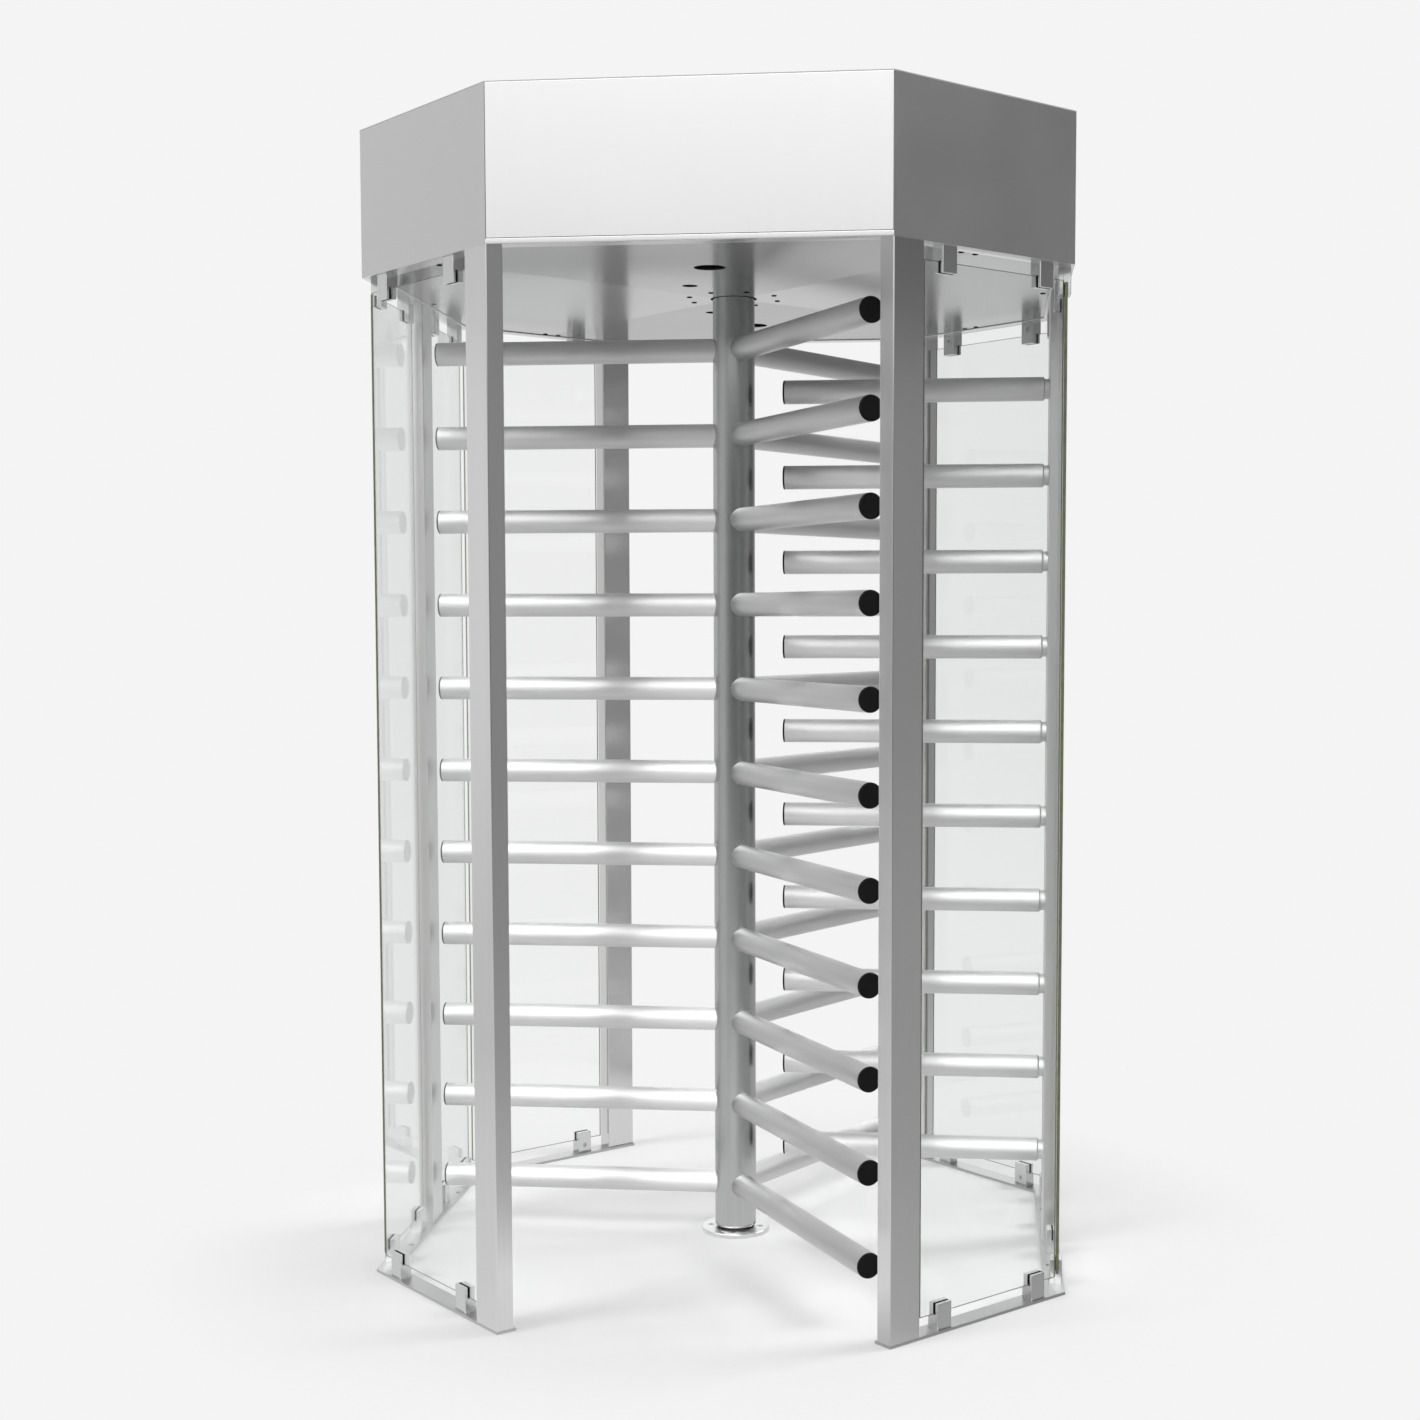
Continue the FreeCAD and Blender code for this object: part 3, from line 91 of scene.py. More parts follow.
class Shader:
    """A node tree, built one node at a time."""

    def __init__(self, tree):
        tree.nodes.clear()
        self.tree = tree

    def node(self, kind, sockets, output=0, stops=(), **settings):
        """One node: its settings and ramp stops first, then its sockets' values or links."""
        made = self.tree.nodes.new(kind)
        for name, value in settings.items():
            setattr(made, name, value)
        for index, (place, level) in enumerate(stops):
            elements = made.color_ramp.elements
            stop = elements[index] if index < len(elements) else elements.new(place)
            stop.position = place
            stop.color = grey(level)
        for key, value in sockets.items():
            if isinstance(value, Value):
                self.tree.links.new(value.socket, made.inputs[key])
            else:
                made.inputs[key].default_value = value
        return Value(self, made.outputs[output]) if made.outputs else None

    def math(self, operation, a, b=0.0):
        return self.node("ShaderNodeMath", {0: a, 1: b}, operation=operation)

    def mix(self, factor, a, b):
        """Colour a turning into colour b."""
        return self.node("ShaderNodeMix", {0: factor, 6: a, 7: b}, 2, data_type="RGBA")

    def split(self, vector):
        return [self.node("ShaderNodeSeparateXYZ", {0: vector}, i) for i in range(3)]

    def spread(self, value, low, high, to_low=0.0, to_high=1.0, steps="SMOOTHSTEP"):
        """value from low..high to to_low..to_high."""
        sockets = {0: value, 1: low, 2: high, 3: to_low, 4: to_high}
        return self.node("ShaderNodeMapRange", sockets, interpolation_type=steps)

    def place(self):
        return self.node("ShaderNodeTexCoord", {}, "Object")

    def stretched(self, size, turn):
        """Object coordinates turned about Z and divided by size, so a noise on them has that grain."""
        sockets = {"Vector": self.place(), "Rotation": (0.0, 0.0, math.radians(turn)), "Scale": size}
        return self.node("ShaderNodeMapping", sockets, vector_type="TEXTURE")

    def noise(self, size, turn=0.0, detail=2.0, rough=0.5):
        sockets = {"Vector": self.stretched(size, turn), "Scale": 1.0, "Detail": detail, "Roughness": rough}
        return self.node("ShaderNodeTexNoise", sockets, "Fac")

    def cloud(self, size, detail=2.0, rough=0.5):
        """Noise of the same size in every direction."""
        return self.noise((size, size, size), detail=detail, rough=rough)

    def bump(self, height, depth):
        sockets = {"Height": height, "Distance": depth, "Strength": 1.0}
        return self.node("ShaderNodeBump", sockets)


def grey(level):
    return (level, level, level, 1.0)


def tinted(colour, share):
    return tuple(c * share for c in colour[:3]) + (1.0,)


def mottled(shader, noise, colour, darkest, lightest):
    """The colour times darkest where the noise is 0, and times lightest where it is 1."""
    return shader.mix(noise, tinted(colour, darkest), tinted(colour, lightest))


def varied(value, *changes):
    """A value that each noise moves up and down, over a range as wide as its amount."""
    for noise, amount in changes:
        value = value + (noise - 0.5) * amount
    return value


def new_material(name, surface, **details):
    made = bpy.data.materials.new(name)
    made.use_nodes = True
    shader = Shader(made.node_tree)
    shader.node("ShaderNodeOutputMaterial", {"Surface": surface(shader, **details)})
    return made


# A slight tilt, so that the grain stands upright on no face.
OFF_AXIS = Vector((0.0031, 0.0047, 0.0023))


def along_grain(shader, grain, turn):
    """The direction of the grain, which is where its size is longest."""
    longest = grain.index(max(grain))
    axis = Matrix.Rotation(math.radians(turn), 3, "Z") @ Vector([float(i == longest) for i in range(3)])
    constant = shader.node("ShaderNodeCombineXYZ", dict(enumerate(axis + OFF_AXIS)))
    return shader.node("ShaderNodeVectorTransform", {0: constant}, vector_type="VECTOR",
                       convert_from="OBJECT", convert_to="WORLD")


# Brushed metal: how much wider a streak is than a groove, and the size and share of its smudges.
STREAK_WIDTH = 8.0
SMUDGE_SIZE = 0.16
SMUDGE_SHARE = 0.4


def brushed(shader, colour, roughness, grain, turn=0.0, groove=0.00001, streak=0.06, across=0.9,
            metallic=1.0):
    """Brushed metal that blurs across its grain: fine grooves, broad streaks and faint smudges."""
    fine = shader.noise(grain, turn, detail=3.0, rough=0.6)
    wide = shader.noise(tuple(STREAK_WIDTH * size for size in grain), turn)
    smudge = shader.cloud(SMUDGE_SIZE, detail=3.0, rough=0.55)
    tone = wide * (1.0 - SMUDGE_SHARE) + smudge * SMUDGE_SHARE
    sockets = {
        "Base Color": mottled(shader, shader.spread(tone, 0.3, 0.7), colour, 1.0 - streak, 1.0 + streak),
        "Metallic": metallic,
        "Roughness": varied(roughness, (fine, 0.05), (smudge, 0.06)),
        "Normal": shader.bump(fine, groove),
        "Anisotropic": across,
        "Anisotropic Rotation": 0.25,
        "Tangent": along_grain(shader, grain, turn),
    }
    return shader.node("ShaderNodeBsdfPrincipled", sockets)


# Machined metal: the distance between its tool rings, their depth, and the size of its stains.
RING_PITCH = 0.0006
RING_DEPTH = 0.00002
STAIN_SIZE = 0.03


def turned_metal(shader, colour, roughness):
    """Machined metal with tool rings round the vertical axis and across its faces."""
    x, y, z = shader.split(shader.place())
    radius = shader.math("SQRT", x * x + y * y)
    tool_path = shader.node("ShaderNodeCombineXYZ", {0: radius / RING_PITCH, 1: z / RING_PITCH, 2: 0.0})
    rings = shader.node("ShaderNodeTexNoise", {"Vector": tool_path, "Scale": 1.0, "Detail": 2.0}, "Fac")
    stain = shader.cloud(STAIN_SIZE, detail=3.0)
    sockets = {
        "Base Color": mottled(shader, stain, colour, 0.86, 1.08),
        "Metallic": 1.0,
        "Roughness": varied(roughness, (rings, 0.18), (stain, 0.1)),
        "Normal": shader.bump(rings, RING_DEPTH),
    }
    return shader.node("ShaderNodeBsdfPrincipled", sockets)


# Moulded parts: the size and depth of the mould's texture, and the size of the uneven shine.
TEXTURE_SIZE = 0.0007
TEXTURE_DEPTH = 0.00003
SHINE_SIZE = 0.02


def moulded(shader, colour, roughness, gloss=0.5):
    """Moulded plastic or rubber: a fine spark-eroded texture and a slightly uneven shine."""
    texture = shader.cloud(TEXTURE_SIZE)
    shine = shader.cloud(SHINE_SIZE)
    sockets = {
        "Base Color": mottled(shader, shine, colour, 0.85, 1.2),
        "Roughness": varied(roughness, (shine, 0.14), (texture, 0.08)),
        "Normal": shader.bump(texture, TEXTURE_DEPTH),
        "Specular IOR Level": gloss,
    }
    return shader.node("ShaderNodeBsdfPrincipled", sockets)


# Powder coat: the size and depth of its orange peel, and the size of its darker and lighter patches.
PEEL_SIZE = 0.0016
PEEL_DEPTH = 0.00008
PATCH_SIZE = 0.08


def painted(shader, colour, roughness):
    """Powder coat with its orange peel."""
    peel = shader.cloud(PEEL_SIZE, detail=1.0)
    patch = shader.cloud(PATCH_SIZE, detail=3.0)
    sockets = {
        "Base Color": mottled(shader, patch, colour, 0.92, 1.06),
        "Roughness": varied(roughness, (patch, 0.1)),
        "Normal": shader.bump(peel, PEEL_DEPTH),
    }
    return shader.node("ShaderNodeBsdfPrincipled", sockets)


GLASS_TINT = (0.985, 0.995, 0.99, 1.0)
EDGE_DARK = (0.09, 0.105, 0.055, 1.0)
EDGE_LIGHT = (0.24, 0.26, 0.15, 1.0)
EDGE_GRAIN = (0.004, 0.004, 0.02)


def clear_glass(shader):
    """Clear pane that casts no dark shadow."""
    sockets = {"Base Color": GLASS_TINT, "Roughness": 0.0, "IOR": 1.5, "Transmission Weight": 1.0}
    glass = shader.node("ShaderNodeBsdfPrincipled", sockets)
    clear = shader.node("ShaderNodeBsdfTransparent", {"Color": GLASS_TINT})
    shadow = shader.node("ShaderNodeLightPath", {}, "Is Shadow Ray")
    return shader.node("ShaderNodeMixShader", {0: shadow, 1: glass, 2: clear})


def glass_edge(shader):
    """Ground edge of the pane, olive green from the glass behind it."""
    ground = shader.noise(EDGE_GRAIN, detail=3.0)
    sockets = {
        "Base Color": shader.mix(ground, EDGE_DARK, EDGE_LIGHT),
        "Roughness": 0.2 + ground * 0.2,
    }
    return shader.node("ShaderNodeBsdfPrincipled", sockets)


# Studio light, in shares of white. GLASS_LOSS is what a pane holds back, which the sky makes up behind it.
BACKGROUND = 0.905
SKY = 0.53
GLASS_LOSS = 0.2

# Each lamp's name, the side it stands on and the light it gives an open floor. All angles are in degrees.
LAMPS = (("right_lamp", 25.0, 0.25), ("left_lamp", 215.0, 0.22))
LAMP_HEIGHT = 40.0
LAMP_WIDTH = 22.0

# What polished metal mirrors, by compass direction: 0 and 1 are the rear, 0.25 left, 0.5 front, 0.75 right.
HORIZON = ((0.0, 0.82), (0.10, 0.78), (0.215, 0.77), (0.25, 0.32), (0.275, 0.60), (0.37, 0.60),
           (0.44, 0.24), (0.5, 0.12), (0.60, 0.12), (0.67, 0.13), (0.70, 0.26), (0.75, 0.29),
           (0.785, 0.10), (0.86, 0.09), (0.93, 0.60), (1.0, 0.82))
SLOPE = ((0.0, 1.10), (0.17, 0.75), (0.20, 0.70), (0.25, 0.40), (0.37, 0.75), (0.44, 1.14), (0.56, 1.14),
         (0.64, 0.50), (0.75, 0.10), (0.88, 0.28), (1.0, 1.10))
HIGH = ((0.0, 1.25), (0.17, 0.70), (0.25, 0.52), (0.35, 0.80), (0.43, 4.4), (0.57, 4.4), (0.66, 0.70),
        (0.75, 0.24), (0.88, 0.5), (1.0, 1.25))
TOP = ((0.0, 1.1), (0.25, 0.8), (0.40, 4.0), (0.60, 4.0), (0.75, 0.8), (1.0, 1.1))
ZENITH = 1.2
# Painted light and shade on the floor as polished metal mirrors it near the turnstile, by compass direction.
PAINTED_FLOOR_REFLECTION = ((0.0, 0.78), (0.25, 0.68), (0.36, 0.72), (0.5, 0.80), (0.60, 0.44), (0.72, 0.36), (0.8, 0.55),
         (0.9, 0.6), (1.0, 0.78))

# The levels above the horizon, each with the two heights between which it takes over, as sines.
LEVELS = ((SLOPE, 0.108, 0.148), (HIGH, 0.275, 0.48), (TOP, 0.6, 0.9))
ZENITH_START = 0.97

# Floor: its shadow's strength, the painted shade under the header that polished metal mirrors, and where
# each fades, in metres from the axis.
FLOOR_RADIUS = 45.0
FLOOR_SHADOW = 0.68
SHADOW_FADE = (0.72, 1.3)
PAINTED_SHADE_UNDER_HEADER = 0.78
HEADER_FADE = (0.55, 0.75)
HORIZON_FADE = (1.4, 18.0)


def around(shader, x, y, stops):
    """Brightness by compass direction."""
    turn = shader.math("ARCTAN2", x, 0.0 - y) / (2 * math.pi) + 0.5
    return shader.node("ShaderNodeValToRGB", {0: turn}, stops=stops)


def bounced(shader, kind):
    """1 for light that has met a surface of that kind on its way."""
    return shader.math("MINIMUM", shader.node("ShaderNodeLightPath", {}, kind + " Depth"), 1.0)


def make_world():
    """Plain background for the camera, mirrored studio for polished metal, even sky for the rest."""
    world = bpy.data.worlds.new("studio")
    bpy.context.scene.world = world
    world.use_nodes = True
    shader = Shader(world.node_tree)
    x, y, z = shader.split(shader.node("ShaderNodeTexCoord", {}, "Generated"))
    studio = around(shader, x, y, HORIZON)
    for stops, low, high in LEVELS:
        studio = studio + (around(shader, x, y, stops) - studio) * shader.spread(z, low, high)
    studio = studio + (ZENITH - studio) * shader.spread(z, ZENITH_START, 1.0)
    through_glass = shader.node("ShaderNodeLightPath", {}, "Is Transmission Ray")
    sky = SKY + through_glass * (GLASS_LOSS * SKY)
    mirrored = BACKGROUND + bounced(shader, "Glossy") * (studio - BACKGROUND)
    light = mirrored + bounced(shader, "Diffuse") * (sky - mirrored)
    shader.node("ShaderNodeOutputWorld", {0: shader.node("ShaderNodeBackground", {"Color": light})})
    world.cycles.sampling_method = "NONE"


def floor_surface(shader):
    """Pale floor with a faint shadow. Polished metal sees it glow with painted light and shade by compass
    direction, darker under the header, fading into the studio's horizon.
    """
    x, y, _ = shader.split(shader.place())
    distance = shader.math("SQRT", x * x + y * y)
    far = shader.math("LOGARITHM", distance, math.e)
    fade = shader.spread(far, *(math.log(end) for end in HORIZON_FADE), steps="LINEAR")
    near = around(shader, x, y, PAINTED_FLOOR_REFLECTION)
    outside = near + (around(shader, x, y, HORIZON) - near) * fade
    # Painted reflection: metal sees the floor glow at these levels, with painted shade under the header.
    painted_mirror_levels = PAINTED_SHADE_UNDER_HEADER + (outside - PAINTED_SHADE_UNDER_HEADER) * shader.spread(distance, *HEADER_FADE)
    mirrored = shader.node("ShaderNodeEmission", {"Color": painted_mirror_levels, "Strength": 1.0})
    shaded = shader.node("ShaderNodeBsdfDiffuse", {"Color": grey(BACKGROUND)})
    open_floor = shader.node("ShaderNodeEmission", {"Color": grey(BACKGROUND), "Strength": 1.0})
    shadow = FLOOR_SHADOW * shader.spread(distance, *SHADOW_FADE, 1.0, 0.0)
    plain = shader.node("ShaderNodeMixShader", {0: shadow, 1: open_floor, 2: shaded})
    return shader.node("ShaderNodeMixShader", {0: bounced(shader, "Glossy"), 1: plain, 2: mirrored})


def make_floor():
    bm = bmesh.new()
    bmesh.ops.create_circle(bm, cap_ends=True, segments=128, radius=FLOOR_RADIUS)
    mesh = bpy.data.meshes.new("floor")
    bm.to_mesh(mesh)
    bm.free()
    floor = bpy.data.objects.new("floor", mesh)
    bpy.context.scene.collection.objects.link(floor)
    mesh.materials.append(new_material("floor", floor_surface))


def make_lamps():
    """Two broad lamps that cast the soft shadows. Polished metal doesn't mirror them."""
    height = math.radians(LAMP_HEIGHT)
    for name, side, share in LAMPS:
        data = bpy.data.lights.new(name, "SUN")
        data.angle = math.radians(LAMP_WIDTH)
        data.energy = share * math.pi / math.sin(height)
        lamp = bpy.data.objects.new(name, data)
        lamp.rotation_euler = (math.pi / 2 - height, 0.0, math.radians(side + 90.0))
        lamp.visible_glossy = False
        bpy.context.scene.collection.objects.link(lamp)


def make_camera():
    data = bpy.data.cameras.new("camera")
    data.sensor_width = SENSOR_WIDTH
    data.lens = FOCAL_PIXELS / PHOTO_PIXELS * SENSOR_WIDTH
    data.shift_x, data.shift_y = CAMERA_SHIFT
    data.clip_end = 200.0
    camera = bpy.data.objects.new("camera", data)
    bpy.context.scene.collection.objects.link(camera)
    camera.location = CAMERA_PLACE
    camera.rotation_euler = [math.radians(angle) for angle in CAMERA_TURN]
    bpy.context.scene.camera = camera


# Pieces.
def new_piece(name, bm, body, finishes, replaced=()):
    mesh = bpy.data.meshes.new(name)
    bm.to_mesh(mesh)
    bm.free()
    for material in finishes:
        mesh.materials.append(material)
    piece = bpy.data.objects.new(name, mesh)
    bpy.context.scene.collection.objects.link(piece)
    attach(piece, body)
    if replaced:
        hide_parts(*replaced)
    return piece


def smoothed(bm, limit=40.0):
    """Smooth faces, with sharp edges where the surface turns by more than limit degrees."""
    for face in bm.faces:
        face.smooth = True
    for edge in bm.edges:
        edge.smooth = edge.calc_face_angle(math.pi) < math.radians(limit)


def merged_copy(node):
    """Copy of a CAD node's mesh with its corners merged and its flat faces whole."""
    bm = bmesh.new()
    bm.from_mesh(NODES[node].data)
    bmesh.ops.remove_doubles(bm, verts=bm.verts, dist=1e-6)
    bmesh.ops.dissolve_limit(bm, angle_limit=math.radians(0.5), verts=bm.verts, edges=bm.edges)
    return bm


# An edge is sharp where its faces turn by more than this, in radians.
SHARP = 0.6


def eased(bm, width, shortest, segments=2):
    """Rounds the sharp edges that are longer than shortest."""
    edges = [edge for edge in bm.edges
             if edge.is_manifold and edge.calc_face_angle() > SHARP and edge.calc_length() > shortest]
    bmesh.ops.bevel(bm, geom=edges, offset=width, offset_type="OFFSET", segments=segments, profile=0.5,
                    affect="EDGES", material=-1, clamp_overlap=True)


def eased_piece(node, body, material, width, shortest=0.0):
    """Copy of a CAD node with eased edges. Lengths are in millimetres."""
    bm = merged_copy(node)
    eased(bm, width * MM, shortest * MM)
    smoothed(bm)
    piece = new_piece(node + "_eased", bm, body, [material], [node])
    piece.modifiers.new("flat", "WEIGHTED_NORMAL").keep_sharp = True


def make_eased_pieces(materials):
    """Header, base strips, clamps, flange and machined parts with eased edges."""
    for node in NODES:
        if node.startswith(("header_cover", "header_panel", "header_sills")):
            eased_piece(node, "frame", materials["sheet"], width=0.7, shortest=8.0)
    for node in ("base_plate_right", "base_plate_left"):
        eased_piece(node, "frame", materials["base"], width=0.6, shortest=5.0)
    for node in ("clamp_bodies", "clamp_plates"):
        eased_piece(node, "frame", materials["clamp"], width=0.4, shortest=0.9)
    eased_piece("foot_flange", "frame", materials["flange"], width=0.4)
    for node in ("drive_plate", "bearing_housing"):
        eased_piece(node, "frame", materials["plate"], width=0.5)
    eased_piece("lock_supports", "frame", materials["machined"], width=0.5)
    for node in ("index_disc", "shaft_nut", "drive_shaft"):
        eased_piece(node, "rotor", materials["machined"], width=0.5)
    for side in ("left", "right"):
        for node, body in (("lock_lever_", "lever_"), ("plunger_", "plunger_")):
            eased_piece(node + side, body + side, materials["machined"], width=0.4)
    eased_piece("solenoids", "frame", materials["coil"], width=0.8, shortest=2.0)
    eased_piece("header_frame", "frame", materials["paint"], width=0.8, shortest=8.0)


def spun(profile, steps=32):
    """Shape turned about the X axis from pairs of a place along it and a radius, in millimetres."""
    bm = bmesh.new()
    points = [bm.verts.new((along * MM, 0.0, radius * MM)) for along, radius in profile]
    edges = [bm.edges.new(pair) for pair in zip(points, points[1:])]
    bmesh.ops.spin(bm, geom=points + edges, cent=(0, 0, 0), axis=(1, 0, 0), angle=2 * math.pi,
                   steps=steps, use_merge=True)
    bmesh.ops.remove_doubles(bm, verts=bm.verts, dist=1e-7)
    bmesh.ops.recalc_face_normals(bm, faces=bm.faces)
    return bm


def repeated(one, places):
    """One mesh put at each place."""
    mesh = bpy.data.meshes.new("pattern")
    one.to_mesh(mesh)
    one.free()
    bm = bmesh.new()
    for place in places:
        before = len(bm.verts)
        bm.from_mesh(mesh)
        bm.verts.ensure_lookup_table()
        bmesh.ops.transform(bm, matrix=place, verts=bm.verts[before:])
    bpy.data.meshes.remove(mesh)
    return bm


def shells(bm):
    """Separate solids of a mesh, each as a list of its corners."""
    left = set(bm.verts)
    found = []
    while left:
        shell, fresh = [], [left.pop()]
        while fresh:
            vert = fresh.pop()
            shell.append(vert)
            near = {edge.other_vert(vert) for edge in vert.link_edges} & left
            left -= near
            fresh.extend(near)
        found.append(shell)
    return found


def facing_places(node):
    """For each solid of a node, the matrix that puts the origin on its largest flat face, X outwards."""
    bm = merged_copy(node)
    places = []
    for shell in shells(bm):
        faces = {face for vert in shell for face in vert.link_faces}
        normal = max(faces, key=lambda face: face.calc_area()).normal
        middle = sum((vert.co for vert in shell), Vector()) / len(shell)
        reach = max((vert.co - middle).dot(normal) for vert in shell)
        turn = Vector((1.0, 0.0, 0.0)).rotation_difference(normal).to_matrix().to_4x4()
        places.append(Matrix.Translation(middle + normal * reach) @ turn)
    bm.free()
    return places


CAP_PROFILE = ((0.5, 0.0), (0.4, 12.0), (0.25, 19.0), (0.0, 20.5), (0.05, 22.4), (0.35, 23.6), (1.0, 24.5),
               (1.9, 24.95), (3.6, 25.0), (4.0, 24.7), (4.0, 22.9), (14.0, 22.9), (16.0, 22.2), (16.0, 20.0),
               (6.0, 19.6), (6.0, 0.0))


def make_caps(materials):
    """Black plugs in the ends of the wing tubes and the comb tubes."""
    turned_round = [(-along, radius) for along, radius in CAP_PROFILE]
    on_wings = [
        Matrix.Rotation(math.radians(angle), 4, "Z") @ Matrix.Translation((WING_REACH, 0.0, height))
        for angle in WING_ANGLES.values() for height in BAR_HEIGHTS
    ]
    on_comb = [Matrix.Translation((COMB_START, 0.0, height)) for height in COMB_HEIGHTS]
    for node, body, profile, places in (
        ("wing_caps", "rotor", turned_round, on_wings),
        ("comb_caps", "frame", CAP_PROFILE, on_comb),
    ):
        bm = repeated(spun(profile), places)
        smoothed(bm, limit=50.0)
        new_piece(node + "_moulded", bm, body, [materials["cap"]], [node])


def countersunk(head, shank, length, socket, depth, rise=0.0):
    """Countersunk screw along -X, the edge of its head at x = 0 and its middle raised by rise.

    head, shank and socket are radii, and depth is the hexagon socket's, all in millimetres.
    """
    bm = spun(((rise, head * 0.72), (rise * 0.72, head * 0.9), (0.0, head - 0.3), (-0.12, head - 0.12),
               (shank - head, shank), (0.6 - length, shank), (-length, shank - 0.6), (-length, 0.0)), 24)
    rim = [edge for edge in bm.edges if edge.is_boundary]
    facing = Matrix.Translation(((rise - depth) * MM, 0.0, 0.0)) @ Matrix.Rotation(math.pi / 2, 4, "Y")
    hexagon = bmesh.ops.create_circle(bm, cap_ends=True, segments=6, radius=socket * MM, matrix=facing)
    floor = hexagon["verts"]
    edges = list({edge for vert in floor for edge in vert.link_edges})
    made = bmesh.ops.extrude_edge_only(bm, edges=edges)["geom"]
    raised = [item for item in made if isinstance(item, bmesh.types.BMVert)]
    bmesh.ops.translate(bm, verts=raised, vec=(depth * MM, 0.0, 0.0))
    # The socket's floor takes the second material: black, painted shade in the socket.
    for vert in floor:
        for face in vert.link_faces:
            face.material_index = 1
    mouth = [edge for vert in raised for edge in vert.link_edges if edge.other_vert(vert) in raised]
    bmesh.ops.bridge_loops(bm, edges=rim + list(set(mouth)))
    bmesh.ops.recalc_face_normals(bm, faces=bm.faces)
    return bm


# The ceiling's screws are below this height and the roof's above it, in metres.
HEADER_MIDDLE = 2.2


def make_screws(materials):
    """Screws of the ceiling, the roof, the foot flange and the clamps."""
    # dark is the ceiling screws' own black oxide, and painted shade on the socket floors of the other
    # screws.
    dark, steel, bright = materials["black_screw"], materials["screw"], materials["clamp_screw"]
    sheet = facing_places("sheet_screws")
    in_ceiling = [place for place in sheet if place.translation.z < HEADER_MIDDLE]
    in_roof = [place for place in sheet if place.translation.z > HEADER_MIDDLE]
    ceiling_screw = countersunk(head=6.0, shank=3.0, length=12.0, socket=2.0, depth=2.6, rise=1.2)
    roof_screw = countersunk(head=4.5, shank=2.5, length=9.0, socket=1.5, depth=1.5)
    foot_screw = countersunk(head=7.0, shank=3.5, length=9.0, socket=2.3, depth=3.5)
    clamp_screw = countersunk(head=6.0, shank=3.0, length=20.0, socket=1.9, depth=3.0)
    for name, screw, places, metal, replaced in (
        ("ceiling_screws", ceiling_screw, in_ceiling, dark, ["sheet_screws"]),
        ("roof_screws", roof_screw, in_roof, steel, []),
        ("foot_screws_socketed", foot_screw, facing_places("foot_screws"), steel, ["foot_screws"]),
        ("clamp_screws_socketed", clamp_screw, facing_places("clamp_screws"), bright, ["clamp_screws"]),
    ):
        bm = repeated(screw, places)
        smoothed(bm)
        new_piece(name, bm, "frame", [metal, dark], replaced)


LAMP_PROFILE = ((0.0, 0.0), (0.0, 34.5), (-1.5, 36.0), (-28.0, 36.0), (-28.0, 31.4), (-27.4, 30.6),
                (-25.0, 30.0), (-24.8, 29.2), (-23.4, 28.6), (-23.2, 27.8), (-22.0, 27.2), (-22.3, 18.0),
                (-22.6, 8.0), (-22.7, 0.0))
SENSOR_PROFILE = ((0.0, 0.0), (0.0, 16.8), (-1.2, 18.0), (-20.0, 18.0), (-20.0, 14.6), (-19.2, 14.4),
                  (-19.2, 14.0), (-20.9, 13.8), (-21.4, 12.6), (-21.9, 8.0), (-22.1, 0.0))
GROMMET_PROFILE = ((0.0, 8.9), (0.0, 16.4), (-0.6, 17.0), (-7.4, 17.0), (-8.0, 16.4), (-8.0, 12.9),
                   (-9.6, 12.8), (-10.0, 12.3), (-10.0, 8.9), (-9.1, 8.0), (-5.6, 8.0), (-5.2, 8.6),
                   (-4.8, 8.6), (-4.4, 8.0), (-0.9, 8.0), (0.0, 8.9))


def make_fittings(materials):
    """Ceiling lamps, presence sensors and the cable grommet."""
    for node, profile, material, slot in (
        ("ceiling_lamps", LAMP_PROFILE, "lamp", "black_plastic"),
        ("presence_sensors", SENSOR_PROFILE, "lamp", "black_plastic"),
        ("cable_inlet", GROMMET_PROFILE, "rubber", "rubber"),
    ):
        bm = repeated(spun(profile, 48), facing_places(node))
        smoothed(bm, limit=30.0)
        new_piece(node + "_turned", bm, "frame", [materials[material]], [node])


def box_between(low, high, width, segments=2):
    """Rounded box between two corners."""
    bm = bmesh.new()
    middle, size = (Vector(low) + Vector(high)) / 2, Vector(high) - Vector(low)
    bmesh.ops.create_cube(bm, size=1.0, matrix=Matrix.Translation(middle) @ Matrix.Diagonal(size).to_4x4())
    eased(bm, width, 0.0, segments)
    return bm


def added(bm, other):
    """Puts the second mesh into the first."""
    mesh = bpy.data.meshes.new("added")
    other.to_mesh(mesh)
    other.free()
    bm.from_mesh(mesh)
    bpy.data.meshes.remove(mesh)


GLAND_PROFILE = ((-4.0, 0.0), (-4.0, 8.0), (0.0, 8.0), (0.0, 12.0), (5.0, 12.0), (5.6, 11.0), (6.0, 9.6),
                 (13.0, 9.0), (15.5, 7.4), (16.0, 5.0), (12.0, 4.4), (12.0, 0.0))

# Places of the glands along the box, in metres.
GLAND_PLACES = (-0.06, 0.0, 0.06)


